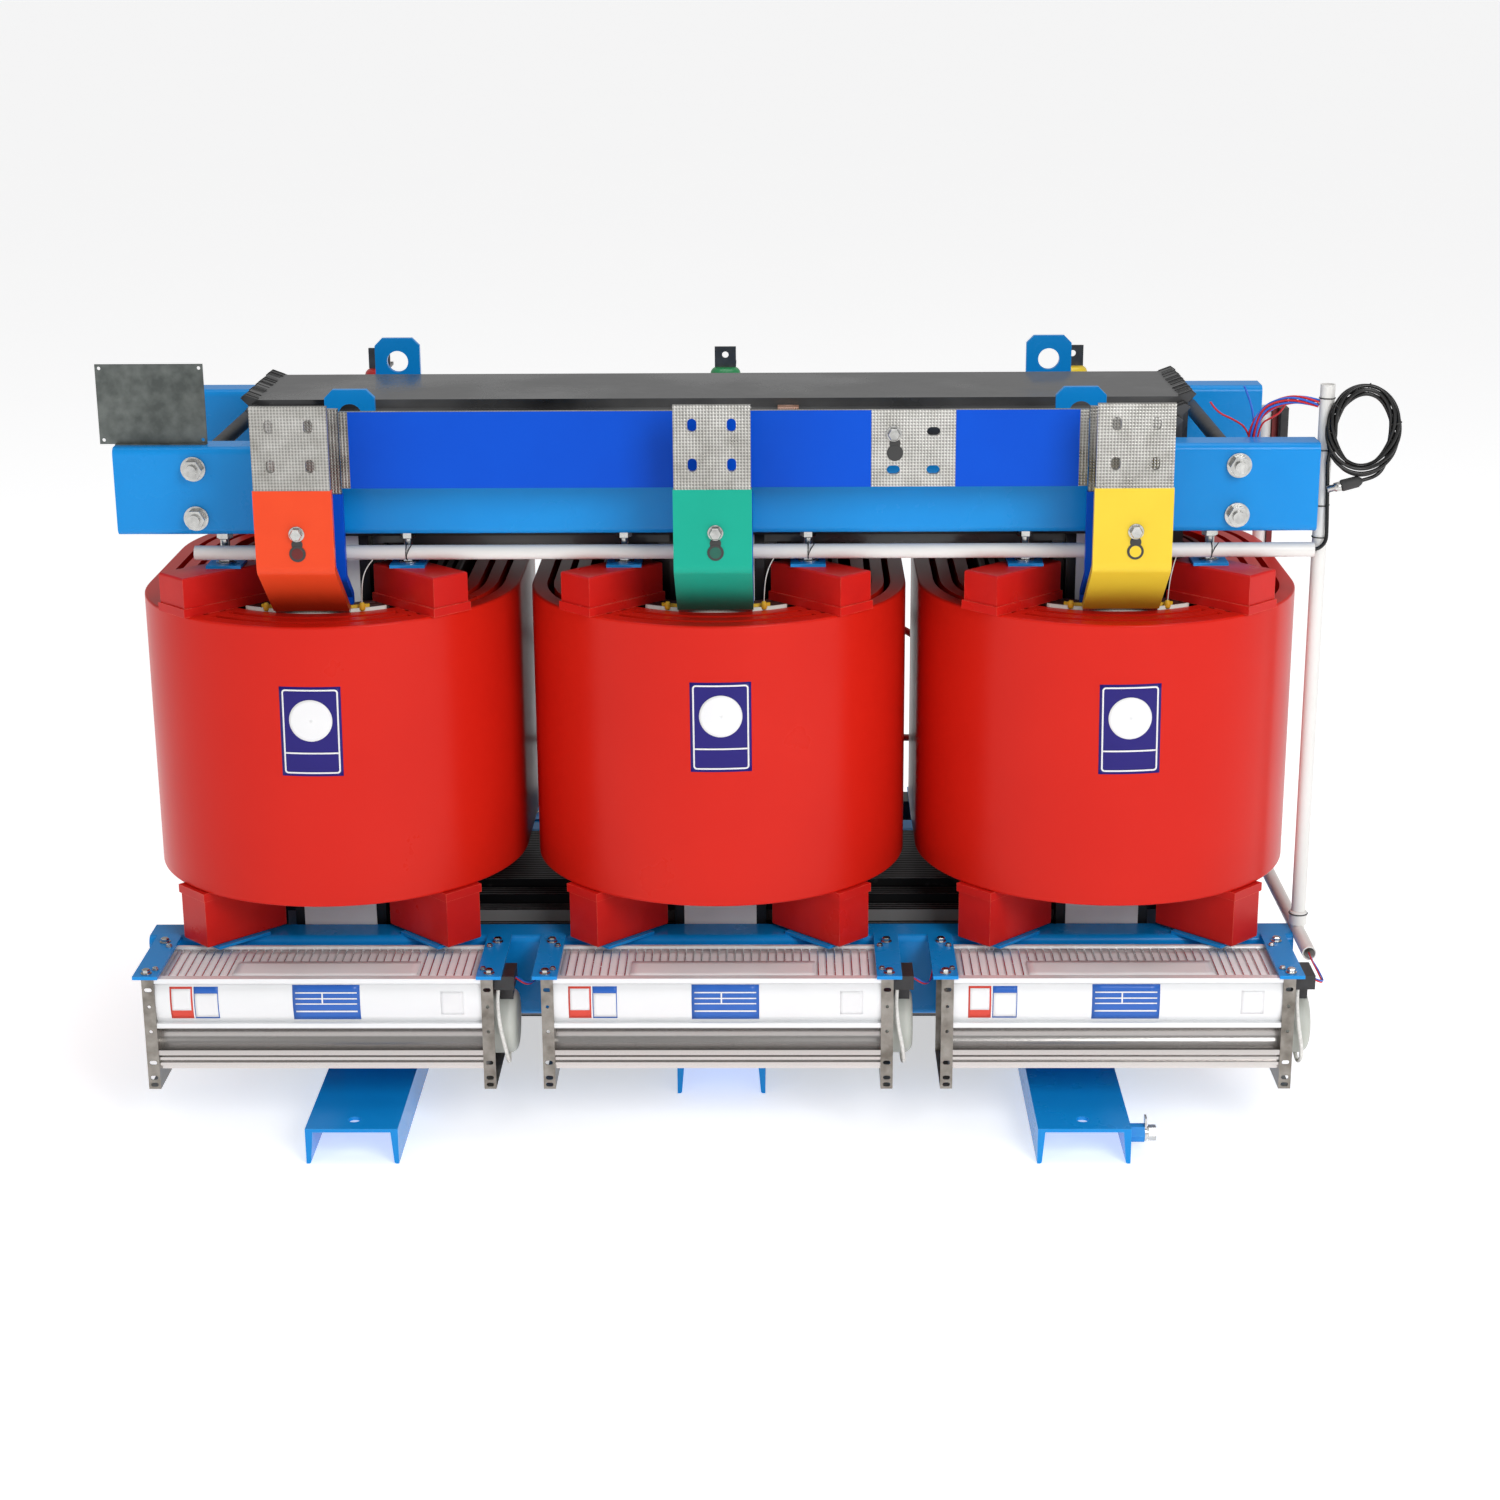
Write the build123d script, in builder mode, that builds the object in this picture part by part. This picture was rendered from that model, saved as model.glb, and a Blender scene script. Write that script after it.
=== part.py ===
from build123d import *
from math import radians, tan
import os

os.makedirs("parts", exist_ok=True)

# Dry-type power transformer with three cast-resin coils on an oblong core.
# X runs along the core, -Y is the low-voltage side, +Z is up.
# The origin is on the ground under the middle of the core.

# Core: half depth and half width of each packet of laminations, widest first
core_packets = ((137, 135), (180, 120), (215, 103), (250, 82))
end_clearance_low = 67
end_clearance_high = 56
beak_reach = 13
beak_rise = 9
beak_root = 20

# Coils, from the limb outwards
coil_height = 497
coil_gap = 22
arc_offset = 135
limb_gap = 31
lv_band = 11
lv_band_count = 3
lv_duct = 8
main_gap = 22
hv_bands = (27, 21, 23)
hv_duct = 12
rim_radius = 4
web_width = 14
web_offset = 50
web_inset = 5

# Base channels, laid with the web up
channel_width = 160
channel_height = 65
channel_web = 6.5
flange_tip = 8
flange_root = 13
root_fillet = 8
toe_fillet = 4
channel_half_length = 595
centre_channel_half_length = 304
channel_offset = 628
channel_hole = 22
channel_hole_inset = 39
pad_thickness = 20
pad_half_width = 60
foot_width = 120
foot_depth = 30

# Earth terminal on the right channel
boss_width = 28
boss_length = 26
earth_height = 42
earth_inset = 35
earth_washer = 30
spring_washer = 22
earth_washer_thickness = 3.5
earth_nut = 24
earth_nut_height = 13
earth_tab_width = 18
earth_tab_height = 30

# Clamps, folded box sections along both sides of each yoke
clamp_depth = 73
clamp_height = 151
clamp_wall = 8
clamp_corner = 12
clamp_rise_low = 95
clamp_rise_high = 87
board_thickness = 6

# Tie rods through the ends of the clamps
rod_diameter = 20
rod_hole = 22
rod_inset = 136
rod_drops_upper = (36, 121)
rod_drops_lower = (36, 115)
rod_end_gap = 3
sleeve_diameter = 27
sleeve_wall = 3
washer_diameter = 42
washer_thickness = 4
nut_width = 30
nut_height = 16

# Lifting lugs
lug_width = 85
lug_height = 92
lug_thickness = 12
lug_offset = 617
lug_hole = 40
lug_hole_drop = 44
lug_chamfer = 14

# Press blocks above and below the coils
block_overhang = 4
block_width = 73
block_height = 67
block_fillet = 4
lip_height = 15
lip_reach = 3
plate_thickness = 5
stud_diameter = 16
press_plate = 60
lower_plate_width = 90
lower_plate_length = 108
lower_plate_inset = 14
limb_board_width = 130
limb_board_thickness = 4

# Low-voltage bars
bar_thickness = 10
bar_width = 126
bar_stand_off = 27
bar_rise = 376
bar_bend_rise = 105
bar_bend_radius = 14
bar_sleeve = 1.5
bare_length = 138
slot_width = 15
slot_length = 22
slot_half_x = 32
slot_half_z = 32.5
slot_drop = 65
sleeve_foot_gap = 6

# Neutral bar and its risers
riser_stand_off = 56
riser_drop = 23
riser_bend_drop = 39
riser_foot_height = 22
riser_bend_radius = 7
riser_bare_length = 143
neutral_drop = 3
neutral_height = 128
neutral_half_length = 620
neutral_terminal_x = 331
neutral_terminal_width = 140
neutral_bare_end = 15
neutral_slot_half_x = 33
neutral_slot_low = 36
neutral_slot_high = 28

# High-voltage side
hv_reach = 189
insulator_drop = 117
insulator_height = 116
insulator_radius = 30
insulator_waist = 26
groove_radius = 5
groove_pitch = 22
crown_radius = 14
tab_width = 42
tab_height = 40
tab_thickness = 6
tab_hole = 13
tab_hole_drop = 16
tab_foot_reach = 48
bracket_width = 50
bracket_thickness = 6
pad_rise = 18
tap_pad_width = 180
tap_pad_height = 250
tap_spacing_x = 90
tap_spacing_z = 70
tap_diameter = 16
tap_length = 12
boss_diameter = 56
boss_inset = 40
terminal_diameter = 20
terminal_length = 36
link_diameter = 14
link_bend = 28
link_drop = 30
link_offset = 94

# Cross-flow fans
fan_spacing = 41
fan_gap = 31
fan_depth = 164
fan_drop = 3
fan_height = 204
fan_end_depth = 21
fan_sheet = 2
housing_height = 170
lip_drop = 8.5
panel_height = 74
panel_bulge = 7
bead_height = 9
bead_reach = 9
scoop_height = 41
scoop_depth = 16
rib_height = 5
rib_reach = 6
front_set_back = 11
tray_rim = 12
tray_depth = 8
guard_bar = 4
guard_wire = 2.4
guard_pitch = 14.5
flange_slot_length = 13
flange_slot_width = 7.5
flange_slot_drops = (20, 155, 183, 196)
flange_hole = 6
flange_hole_drops = (51, 97)
arm_offset = 295
arm_width = 43
arm_thickness = 6
arm_reach = 3
arm_root = 10
arm_corner = 10
motor_radius = 57
motor_reach = 35
motor_dome = 15
motor_inset = 74
motor_drop = 106
box_depth = 64
box_height = 25
box_inset = 44
box_neck = 24

# Conduits
conduit_diameter = 25
conduit_wall = 2
conduit_gap = 0.3
conduit_rise = 21
conduit_left_inset = 126
upright_top_rise = 94
rear_upright_drop = 44
socket_wall = 3
socket_length = 24
tee_drop = 2
tee_reach = 81
tee_inset = 6
rail_width = 10
rail_depth = 24
rail_length = 273
rear_box_width = 18
rear_box_depth = 60
rear_box_height = 190

# Black cable, tied in a loop to the upright
cable_diameter = 6.5
loop_offset = 59
loop_rise = 20
loop_half_width = 64
loop_half_height = 79
loop_thickness = 20
plug_length = 36
plug_width = 22
plug_depth = 16
plug_tilt = 15
plug_seat = 4
shell_length = 24
shell_width = 13
shell_depth = 9

# Thin wires
bundle_diameter = 14
wire_diameter = 6
motor_lead_diameter = 7
arc_share = 0.45

# Blank plate on the left end of the front clamp
plate_overhang = 28
plate_width = 183
plate_height = 136
plate_sheet = 2
plate_foot = 12
plate_hole = 6
plate_hole_inset = 7

# Derived places
leg_half_width = core_packets[0][1]
stack_half = core_packets[-1][0]
lv_inner = leg_half_width + limb_gap
lv_radius = lv_inner + lv_band_count * lv_band + (lv_band_count - 1) * lv_duct
hv_inner = lv_radius + main_gap
hv_radius = hv_inner + sum(hv_bands) + (len(hv_bands) - 1) * hv_duct
coil_pitch = 2 * hv_radius + coil_gap
yoke_bottom = channel_height + pad_thickness
low_yoke_z = yoke_bottom + leg_half_width
coil_bottom = low_yoke_z + leg_half_width + end_clearance_low
coil_top = coil_bottom + coil_height
high_yoke_z = coil_top + end_clearance_high + leg_half_width
lower_clamp_top = low_yoke_z + clamp_rise_low
upper_clamp_top = high_yoke_z + clamp_rise_high
clamp_inner = stack_half + board_thickness
clamp_outer = clamp_inner + clamp_depth
clamp_mid = clamp_inner + clamp_depth / 2
clamp_half_length = coil_pitch + hv_radius
rod_offset = clamp_half_length - rod_inset
coil_places = (-coil_pitch, 0, coil_pitch)
base_places = (-channel_offset, 0, channel_offset)
names = ("left", "centre", "right")


def front_plane(y):
    """Upright plane along the object, seen from the front: local x is X, local y is Z."""
    return Plane(origin=(0, y, 0), x_dir=(1, 0, 0), z_dir=(0, -1, 0))


def side_plane(x):
    """Upright plane across the object: local x is Y, local y is Z."""
    return Plane(origin=(x, 0, 0), x_dir=(0, 1, 0), z_dir=(1, 0, 0))


def save(part, name):
    part.label = name
    export_step(part, "parts/" + name + ".step")


def from_points(base, steps):
    """Points of a route, given as steps from a base point."""
    return [(base[0] + x, base[1] + y, base[2] + z) for x, y, z in steps]


def arc_radii(points):
    """One radius for each corner of a route, as large as its two runs allow."""
    stops = [Vector(*point) for point in points]
    runs = [b - a for a, b in zip(stops, stops[1:])]
    radii = []
    for run, follow in zip(runs, runs[1:]):
        half_turn = radians(run.get_angle(follow)) / 2
        radii.append(arc_share * min(run.length, follow.length) / tan(half_turn))
    return radii


def tube(points, diameter):
    """Round cord along straight runs joined by tangent arcs."""
    with BuildPart() as cord:
        with BuildLine() as route:
            FilletPolyline(*points, radius=arc_radii(points))
        path = route.wire()
        with BuildSketch(Plane(origin=path @ 0, z_dir=path % 0)):
            Circle(diameter / 2)
        sweep(path=path)
    return cord.part


# Base channels, the right one with the boss of the earth terminal
with BuildPart() as long_channel:
    with BuildSketch(front_plane(0)) as channel_section:
        with BuildLine():
            half = channel_width / 2
            Polyline(
                (0, channel_height),
                (half, channel_height),
                (half, 0),
                (half - flange_tip, 0),
                (half - flange_root, channel_height - channel_web),
                (0, channel_height - channel_web),
            )
            mirror(about=Plane.YZ)
        make_face()
        toes, roots = [channel_section.vertices().group_by(Axis.Y)[row].sort_by(Axis.X) for row in (0, -2)]
        fillet((toes[1], toes[2]), toe_fillet)
        fillet((roots[0], roots[-1]), root_fillet)
    extrude(amount=channel_half_length, both=True)
    hole_y = channel_half_length - channel_hole_inset
    with Locations((0, -hole_y, channel_height), (0, hole_y, channel_height)):
        Hole(channel_hole / 2, depth=channel_web)

with BuildPart() as centre_channel:
    add(long_channel.part)
    Box(channel_width, 2 * centre_channel_half_length, 2 * channel_height, mode=Mode.INTERSECT)
save(centre_channel.part, "base_channel_centre")

with BuildPart() as base_channel_left:
    with Locations((-channel_offset, 0, 0)):
        add(long_channel.part)
save(base_channel_left.part, "base_channel_left")

earth_y = earth_inset - channel_half_length
flange_face = channel_offset + channel_width / 2
with BuildPart() as base_channel_right:
    with Locations((channel_offset, 0, 0)):
        add(long_channel.part)
    with BuildSketch(side_plane(flange_face)):
        with Locations((earth_y, earth_height)):
            RegularPolygon(boss_width / 2, 6, major_radius=False)
    extrude(amount=boss_length)
save(base_channel_right.part, "base_channel_right")

washer_face = flange_face + boss_length
with BuildPart() as earth_terminal:
    with BuildSketch(side_plane(washer_face)):
        with Locations((earth_y, earth_height)):
            Circle(earth_washer / 2)
        with Locations((earth_y, earth_height + earth_tab_height / 2)):
            Rectangle(earth_tab_width, earth_tab_height)
    extrude(amount=earth_washer_thickness)
    with BuildSketch(side_plane(washer_face + earth_washer_thickness)):
        with Locations((earth_y, earth_height)):
            Circle(spring_washer / 2)
    extrude(amount=earth_washer_thickness)
    with BuildSketch(side_plane(washer_face + 2 * earth_washer_thickness)):
        with Locations((earth_y, earth_height)):
            RegularPolygon(earth_nut / 2, 6, major_radius=False)
    extrude(amount=earth_nut_height)
save(earth_terminal.part, "earth_terminal")

# Pads under the bottom yoke and feet under the lower clamps
with BuildPart() as yoke_pads:
    with Locations(*[(x, 0, channel_height + pad_thickness / 2) for x in base_places]):
        Box(2 * pad_half_width, 2 * core_packets[0][0], pad_thickness)
save(yoke_pads.part, "yoke_pads")

foot_height = lower_clamp_top - clamp_height - channel_height
foot_y = clamp_mid - foot_depth / 2
with BuildPart() as clamp_feet:
    for y in (-foot_y, foot_y):
        with Locations(*[(x, y, channel_height + foot_height / 2) for x in base_places]):
            Box(foot_width, foot_depth, foot_height)
save(clamp_feet.part, "clamp_feet")


def yoke(z, up):
    """Stepped yoke whose corner laminations stand out past its ends, up or down."""
    with BuildPart() as stack:
        for half_depth, half_width in core_packets:
            end = coil_pitch + half_width
            edge = z + up * half_width
            with Locations((0, 0, z)):
                Box(2 * end, 2 * half_depth, 2 * half_width)
            with BuildSketch(front_plane(0)):
                with BuildLine():
                    Polyline(
                        (end - beak_root, edge),
                        (end + beak_reach / 3, edge + up * beak_rise),
                        (end + beak_reach, edge + up * beak_rise / 3),
                        (end, edge - up * beak_root / 2),
                        (end - beak_root, edge - up * beak_root / 2),
                        close=True,
                    )
                make_face()
                mirror(about=Plane.YZ)
            extrude(amount=half_depth, both=True)
    return stack.part


save(yoke(low_yoke_z, -1), "core_bottom_yoke")
save(yoke(high_yoke_z, 1), "core_top_yoke")

# Stepped limbs, each packet as long as the gap between the yokes' packets
with BuildPart() as core_limbs:
    inner = 0
    for half_depth, half_width in core_packets:
        low = low_yoke_z + half_width
        high = high_yoke_z - half_width
        depth = half_depth - inner
        spots = [(x, s * (inner + depth / 2), (low + high) / 2) for x in coil_places for s in (-1, 1)]
        with Locations(*spots):
            Box(2 * half_width, depth, high - low)
        inner = half_depth
save(core_limbs.part, "core_limbs")

# White boards on the faces of the limbs, dark boards between yokes and clamps
limb_low = low_yoke_z + core_packets[-1][1]
limb_high = high_yoke_z - core_packets[-1][1]
with BuildPart() as limb_boards:
    limb_y = stack_half + limb_board_thickness / 2
    with Locations(*[(x, s * limb_y, (limb_low + limb_high) / 2) for x in coil_places for s in (-1, 1)]):
        Box(limb_board_width, limb_board_thickness, limb_high - limb_low)
save(limb_boards.part, "limb_boards")

with BuildPart() as clamp_boards:
    board_y = stack_half + board_thickness / 2
    with Locations(*[(0, s * board_y, z) for s in (-1, 1) for z in (low_yoke_z, high_yoke_z)]):
        Box(2 * coil_pitch, board_thickness, 2 * core_packets[-1][1])
save(clamp_boards.part, "clamp_boards")


def clamp(side, top, rod_drops):
    """Hollow folded beam on one side of a yoke, bored for the tie rods."""
    middle_y = side * clamp_mid
    with BuildPart() as beam:
        with BuildSketch(side_plane(0)):
            with Locations((middle_y, top - clamp_height / 2)):
                RectangleRounded(clamp_depth, clamp_height, clamp_corner)
                RectangleRounded(
                    clamp_depth - 2 * clamp_wall,
                    clamp_height - 2 * clamp_wall,
                    clamp_corner - clamp_wall,
                    mode=Mode.SUBTRACT,
                )
        extrude(amount=clamp_half_length, both=True)
        with Locations(*[(s * rod_offset, middle_y, top - drop) for s in (-1, 1) for drop in rod_drops]):
            Cylinder(rod_hole / 2, 2 * clamp_depth, rotation=(90, 0, 0), mode=Mode.SUBTRACT)
    return beam.part


save(clamp(-1, lower_clamp_top, rod_drops_lower), "lower_clamp_front")
save(clamp(1, lower_clamp_top, rod_drops_lower), "lower_clamp_rear")
save(clamp(-1, upper_clamp_top, rod_drops_upper), "upper_clamp_front")

# The rear upper clamp also carries the brackets of the high-voltage insulators
hv_terminal_y = clamp_outer + hv_reach
insulator_base = upper_clamp_top - insulator_drop
bracket_length = hv_reach + insulator_radius
bracket_y = clamp_outer + bracket_length / 2
with BuildPart() as upper_clamp_rear:
    add(clamp(1, upper_clamp_top, rod_drops_upper))
    with Locations(*[(x, bracket_y, insulator_base - bracket_thickness / 2) for x in coil_places]):
        Box(bracket_width, bracket_length, bracket_thickness)
save(upper_clamp_rear.part, "upper_clamp_rear")

# Octagonal lifting lugs welded on the upper clamps
with BuildPart() as lifting_lugs:
    for side in (-1, 1):
        with BuildSketch(front_plane(side * clamp_mid)):
            with Locations(*[(s * lug_offset, upper_clamp_top + lug_height / 2) for s in (-1, 1)]):
                Rectangle(lug_width, lug_height)
        extrude(amount=lug_thickness / 2, both=True)
    crowns = lifting_lugs.edges().filter_by(Axis.Y).group_by(Axis.Z)[-1]
    chamfer(crowns, lug_chamfer)
    eye_z = upper_clamp_top + lug_height - lug_hole_drop
    eyes = [(sx * lug_offset, sy * clamp_mid, eye_z) for sx in (-1, 1) for sy in (-1, 1)]
    with Locations(*eyes):
        Cylinder(lug_hole / 2, 3 * lug_thickness, rotation=(90, 0, 0), mode=Mode.SUBTRACT)
save(lifting_lugs.part, "lifting_lugs")

# Tie rods with their washers and nuts, and the sleeves between the clamps
rod_heights = [upper_clamp_top - drop for drop in rod_drops_upper]
rod_heights += [lower_clamp_top - drop for drop in rod_drops_lower]
rod_spots = [(s * rod_offset, 0, z) for s in (-1, 1) for z in rod_heights]
with BuildPart() as one_rod:
    Cylinder(rod_diameter / 2, 2 * (clamp_outer + fan_gap - rod_end_gap), rotation=(90, 0, 0))
    for s in (-1, 1):
        with Locations((0, s * (clamp_outer + washer_thickness / 2), 0)):
            Cylinder(washer_diameter / 2, washer_thickness, rotation=(90, 0, 0))
        with BuildSketch(front_plane(s * (clamp_outer + washer_thickness))):
            RegularPolygon(nut_width / 2, 6, major_radius=False)
        extrude(amount=-s * nut_height)
with BuildPart() as tie_rods:
    with Locations(*rod_spots):
        add(one_rod.part)
save(tie_rods.part, "tie_rods")

with BuildPart() as rod_sleeves:
    with Locations(*rod_spots):
        Cylinder(sleeve_diameter / 2, 2 * clamp_inner, rotation=(90, 0, 0))
        Cylinder(sleeve_diameter / 2 - sleeve_wall, 2 * clamp_inner, rotation=(90, 0, 0), mode=Mode.SUBTRACT)
save(rod_sleeves.part, "rod_sleeves")

# Walls of the coils as outer and inner radius, listed from the outside in
hv_walls = []
wall_outer = hv_radius
for band in hv_bands:
    hv_walls.append((wall_outer, wall_outer - band))
    wall_outer -= band + hv_duct
lv_walls = []
wall_outer = lv_radius
for row in range(lv_band_count):
    lv_walls.append((wall_outer, wall_outer - lv_band))
    wall_outer -= lv_band + lv_duct

corner_turns = ((-1, 225), (-1, 315), (1, 45), (1, 135))


def oblong_coil(walls, web_places):
    """Oblong walls one inside another, the ducts between them bridged by webs at the corners."""
    outer = walls[0][0]
    bore = walls[-1][1]
    with BuildPart() as coil:
        with BuildSketch(Plane.XY.offset(coil_bottom)):
            SlotCenterToCenter(2 * arc_offset, 2 * outer, rotation=90)
        extrude(amount=coil_height)
        rims = coil.edges().group_by(Axis.Z)
        fillet(rims[0] + rims[-1], rim_radius)
        with BuildSketch(Plane.XY.offset(coil_bottom)):
            for wall, within in zip(walls, walls[1:]):
                SlotCenterToCenter(2 * arc_offset, 2 * wall[1], rotation=90)
                SlotCenterToCenter(2 * arc_offset, 2 * within[0], rotation=90, mode=Mode.SUBTRACT)
            for side, turn in corner_turns:
                with Locations(Location((0, side * arc_offset, 0), (0, 0, turn))):
                    with Locations(*[((outer + bore) / 2, place) for place in web_places]):
                        Rectangle(outer - bore - 2 * web_inset, web_width, mode=Mode.SUBTRACT)
            SlotCenterToCenter(2 * arc_offset, 2 * bore, rotation=90)
        extrude(amount=coil_height, mode=Mode.SUBTRACT)
    return coil.part


# High-voltage coils, with the tap pad and two terminal bosses at the back
coil_back = arc_offset + hv_radius
pad_face = coil_back + pad_rise
pad_root = coil_back - hv_bands[0] + rim_radius
coil_middle = coil_bottom + coil_height / 2
boss_heights = (coil_bottom + boss_inset, coil_top - boss_inset)
with BuildPart() as hv_coil:
    add(oblong_coil(hv_walls, (-web_offset, web_offset)))
    with BuildSketch(front_plane(pad_root)):
        with Locations((0, coil_middle)):
            Rectangle(tap_pad_width, tap_pad_height)
        with Locations(*[(0, z) for z in boss_heights]):
            Circle(boss_diameter / 2)
    extrude(amount=pad_root - pad_face)
    fillet(hv_coil.faces().group_by(Axis.Y)[-1].edges(), rim_radius)
for x, name in zip(coil_places, names):
    with BuildPart() as placed_coil:
        with Locations((x, 0, 0)):
            add(hv_coil.part)
    save(placed_coil.part, "hv_coil_" + name)

with BuildPart() as lv_coil:
    add(oblong_coil(lv_walls, (0,)))
with BuildPart() as lv_coils:
    with Locations(*[(x, 0, 0) for x in coil_places]):
        add(lv_coil.part)
save(lv_coils.part, "lv_coils")

# Corner positions of the press blocks, on the arcs at 45 degrees
corners = []
for x in coil_places:
    for side, turn in corner_turns:
        corners.append(Location((x, side * arc_offset, 0), (0, 0, turn)))

block_inner = lv_inner + lip_reach
block_length = hv_radius + block_overhang - block_inner
block_middle = block_inner + block_length / 2
with BuildPart() as upper_block:
    with Locations((block_middle, 0, coil_top + block_height / 2)):
        Box(block_length, block_width, block_height)
    fillet(upper_block.faces().sort_by(Axis.Z)[-1].edges(), block_fillet)
    with Locations((block_middle, 0, coil_top + lip_height / 2)):
        Box(block_length + 2 * lip_reach, block_width + 2 * lip_reach, lip_height)
with BuildPart() as upper_press_blocks:
    with Locations(*corners):
        add(upper_block.part)
save(upper_press_blocks.part, "upper_press_blocks")

lower_block_bottom = lower_clamp_top + plate_thickness
lower_block_height = coil_bottom - lower_block_bottom
with BuildPart() as lower_block:
    with Locations((block_middle, 0, lower_block_bottom + lower_block_height / 2)):
        Box(block_length, block_width, lower_block_height)
    fillet(lower_block.faces().sort_by(Axis.Z)[0].edges(), block_fillet)
    with Locations((block_middle, 0, coil_bottom - lip_height / 2)):
        Box(block_length + 2 * lip_reach, block_width + 2 * lip_reach, lip_height)
with BuildPart() as lower_support_blocks:
    with Locations(*corners):
        add(lower_block.part)
save(lower_support_blocks.part, "lower_support_blocks")

# Plates under the lower blocks and on the upper ones, and the studs that press them
block_top = coil_top + block_height
stud_offset = clamp_mid - arc_offset
studs = [(x + s * stud_offset, t * clamp_mid) for x in coil_places for s in (-1, 1) for t in (-1, 1)]
plate_middle = hv_radius - lower_plate_inset - lower_plate_length / 2
with BuildPart() as block_plates:
    with Locations(*corners):
        with Locations((plate_middle, 0, lower_clamp_top + plate_thickness / 2)):
            Box(lower_plate_length, lower_plate_width, plate_thickness)
    with Locations(*[(x, y, block_top + plate_thickness / 2) for x, y in studs]):
        Box(press_plate, press_plate, plate_thickness)
save(block_plates.part, "block_plates")

stud_base = block_top + plate_thickness
stud_length = upper_clamp_top - clamp_height - stud_base
with BuildPart() as press_studs:
    with Locations(*[(x, y, stud_base + stud_length / 2) for x, y in studs]):
        Cylinder(stud_diameter / 2, stud_length)
save(press_studs.part, "press_studs")


def bent_bar(path, bend, foot_gap, head_gap, grow):
    """Flat bar along a path seen from the side, grown by the thickness of a sleeve."""
    with BuildPart() as bar:
        with BuildSketch(side_plane(0)):
            with BuildLine():
                FilletPolyline(*path, radius=bend)
            trace(line_width=bar_thickness + 2 * grow)
        extrude(amount=bar_width / 2 + grow, both=True)
        split(bisect_by=Plane.XY.offset(coil_top + foot_gap), keep=Keep.TOP)
        split(bisect_by=Plane.XY.offset(path[0][1] - head_gap), keep=Keep.BOTTOM)
    return bar.part


# Phase bars: upright, then sloping back to the foil winding
bar_y = -(arc_offset + hv_radius + bar_stand_off)
bar_top = coil_top + bar_rise
bar_bend_z = coil_top + bar_bend_rise
bar_foot_y = lv_band / 2 - arc_offset - lv_radius
bar_path = ((bar_y, bar_top), (bar_y, bar_bend_z), (bar_foot_y, coil_top - bar_thickness))
slot_z = bar_top - slot_drop
bar_slots = [(sx * slot_half_x, slot_z + sz * slot_half_z) for sx in (-1, 1) for sz in (-1, 1)]
with BuildPart() as lv_bar:
    add(bent_bar(bar_path, bar_bend_radius, 0, 0, 0))
    with BuildSketch(front_plane(bar_y)):
        with Locations(*bar_slots):
            SlotOverall(slot_length, slot_width, rotation=90)
    extrude(amount=bar_thickness, both=True, mode=Mode.SUBTRACT)
with BuildPart() as lv_bars:
    with Locations(*[(x, 0, 0) for x in coil_places]):
        add(lv_bar.part)
save(lv_bars.part, "lv_bars")

# Coloured sleeves shrunk on the phase bars
with BuildPart() as lv_sleeve:
    add(bent_bar(bar_path, bar_bend_radius, sleeve_foot_gap, bare_length, bar_sleeve))
    add(bent_bar(bar_path, bar_bend_radius, 0, 0, 0), mode=Mode.SUBTRACT)
for x, name in zip(coil_places, names):
    with BuildPart() as placed_sleeve:
        with Locations((x, 0, 0)):
            add(lv_sleeve.part)
    save(placed_sleeve.part, "lv_sleeve_" + name)

# Neutral risers: upright behind the phase bars, then back and down to the winding
riser_y = -(clamp_outer + riser_stand_off)
riser_top = bar_top - riser_drop
riser_foot_y = bar_foot_y + lv_band + lv_duct
riser_path = (
    (riser_y, riser_top),
    (riser_y, bar_bend_z - riser_bend_drop),
    (riser_foot_y, coil_top + riser_foot_height),
    (riser_foot_y, coil_top - bar_thickness),
)
with BuildPart() as riser:
    add(bent_bar(riser_path, riser_bend_radius, 0, 0, 0))
with BuildPart() as neutral_risers:
    with Locations(*[(x, 0, 0) for x in coil_places]):
        add(riser.part)
save(neutral_risers.part, "neutral_risers")

with BuildPart() as riser_sleeve:
    add(bent_bar(riser_path, riser_bend_radius, sleeve_foot_gap, riser_bare_length, bar_sleeve))
    add(riser.part, mode=Mode.SUBTRACT)
with BuildPart() as riser_sleeves:
    with Locations(*[(x, 0, 0) for x in coil_places]):
        add(riser_sleeve.part)
save(riser_sleeves.part, "riser_sleeves")

neutral_y = riser_y - bar_thickness
neutral_z = riser_top - neutral_drop - neutral_height / 2
neutral_slots = (
    (neutral_terminal_x - neutral_slot_half_x, neutral_z - neutral_slot_low),
    (neutral_terminal_x + neutral_slot_half_x, neutral_z - neutral_slot_low),
    (neutral_terminal_x + neutral_slot_half_x, neutral_z + neutral_slot_high),
)
with BuildPart() as neutral_bar:
    with Locations((0, neutral_y, neutral_z)):
        Box(2 * neutral_half_length, bar_thickness, neutral_height)
    with BuildSketch(front_plane(neutral_y)):
        with Locations(*neutral_slots):
            SlotOverall(slot_length, slot_width)
    extrude(amount=bar_thickness, both=True, mode=Mode.SUBTRACT)
save(neutral_bar.part, "neutral_bar")

terminal_left = neutral_terminal_x - neutral_terminal_width / 2
terminal_right = neutral_terminal_x + neutral_terminal_width / 2
sleeve_end = neutral_half_length - neutral_bare_end
sleeve_y = neutral_y - (bar_thickness + bar_sleeve) / 2
with BuildPart() as neutral_sleeves:
    for start, end in ((-sleeve_end, terminal_left), (terminal_right, sleeve_end)):
        with Locations(((start + end) / 2, sleeve_y, neutral_z)):
            Box(end - start, bar_sleeve, neutral_height)
save(neutral_sleeves.part, "neutral_sleeves")

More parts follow.
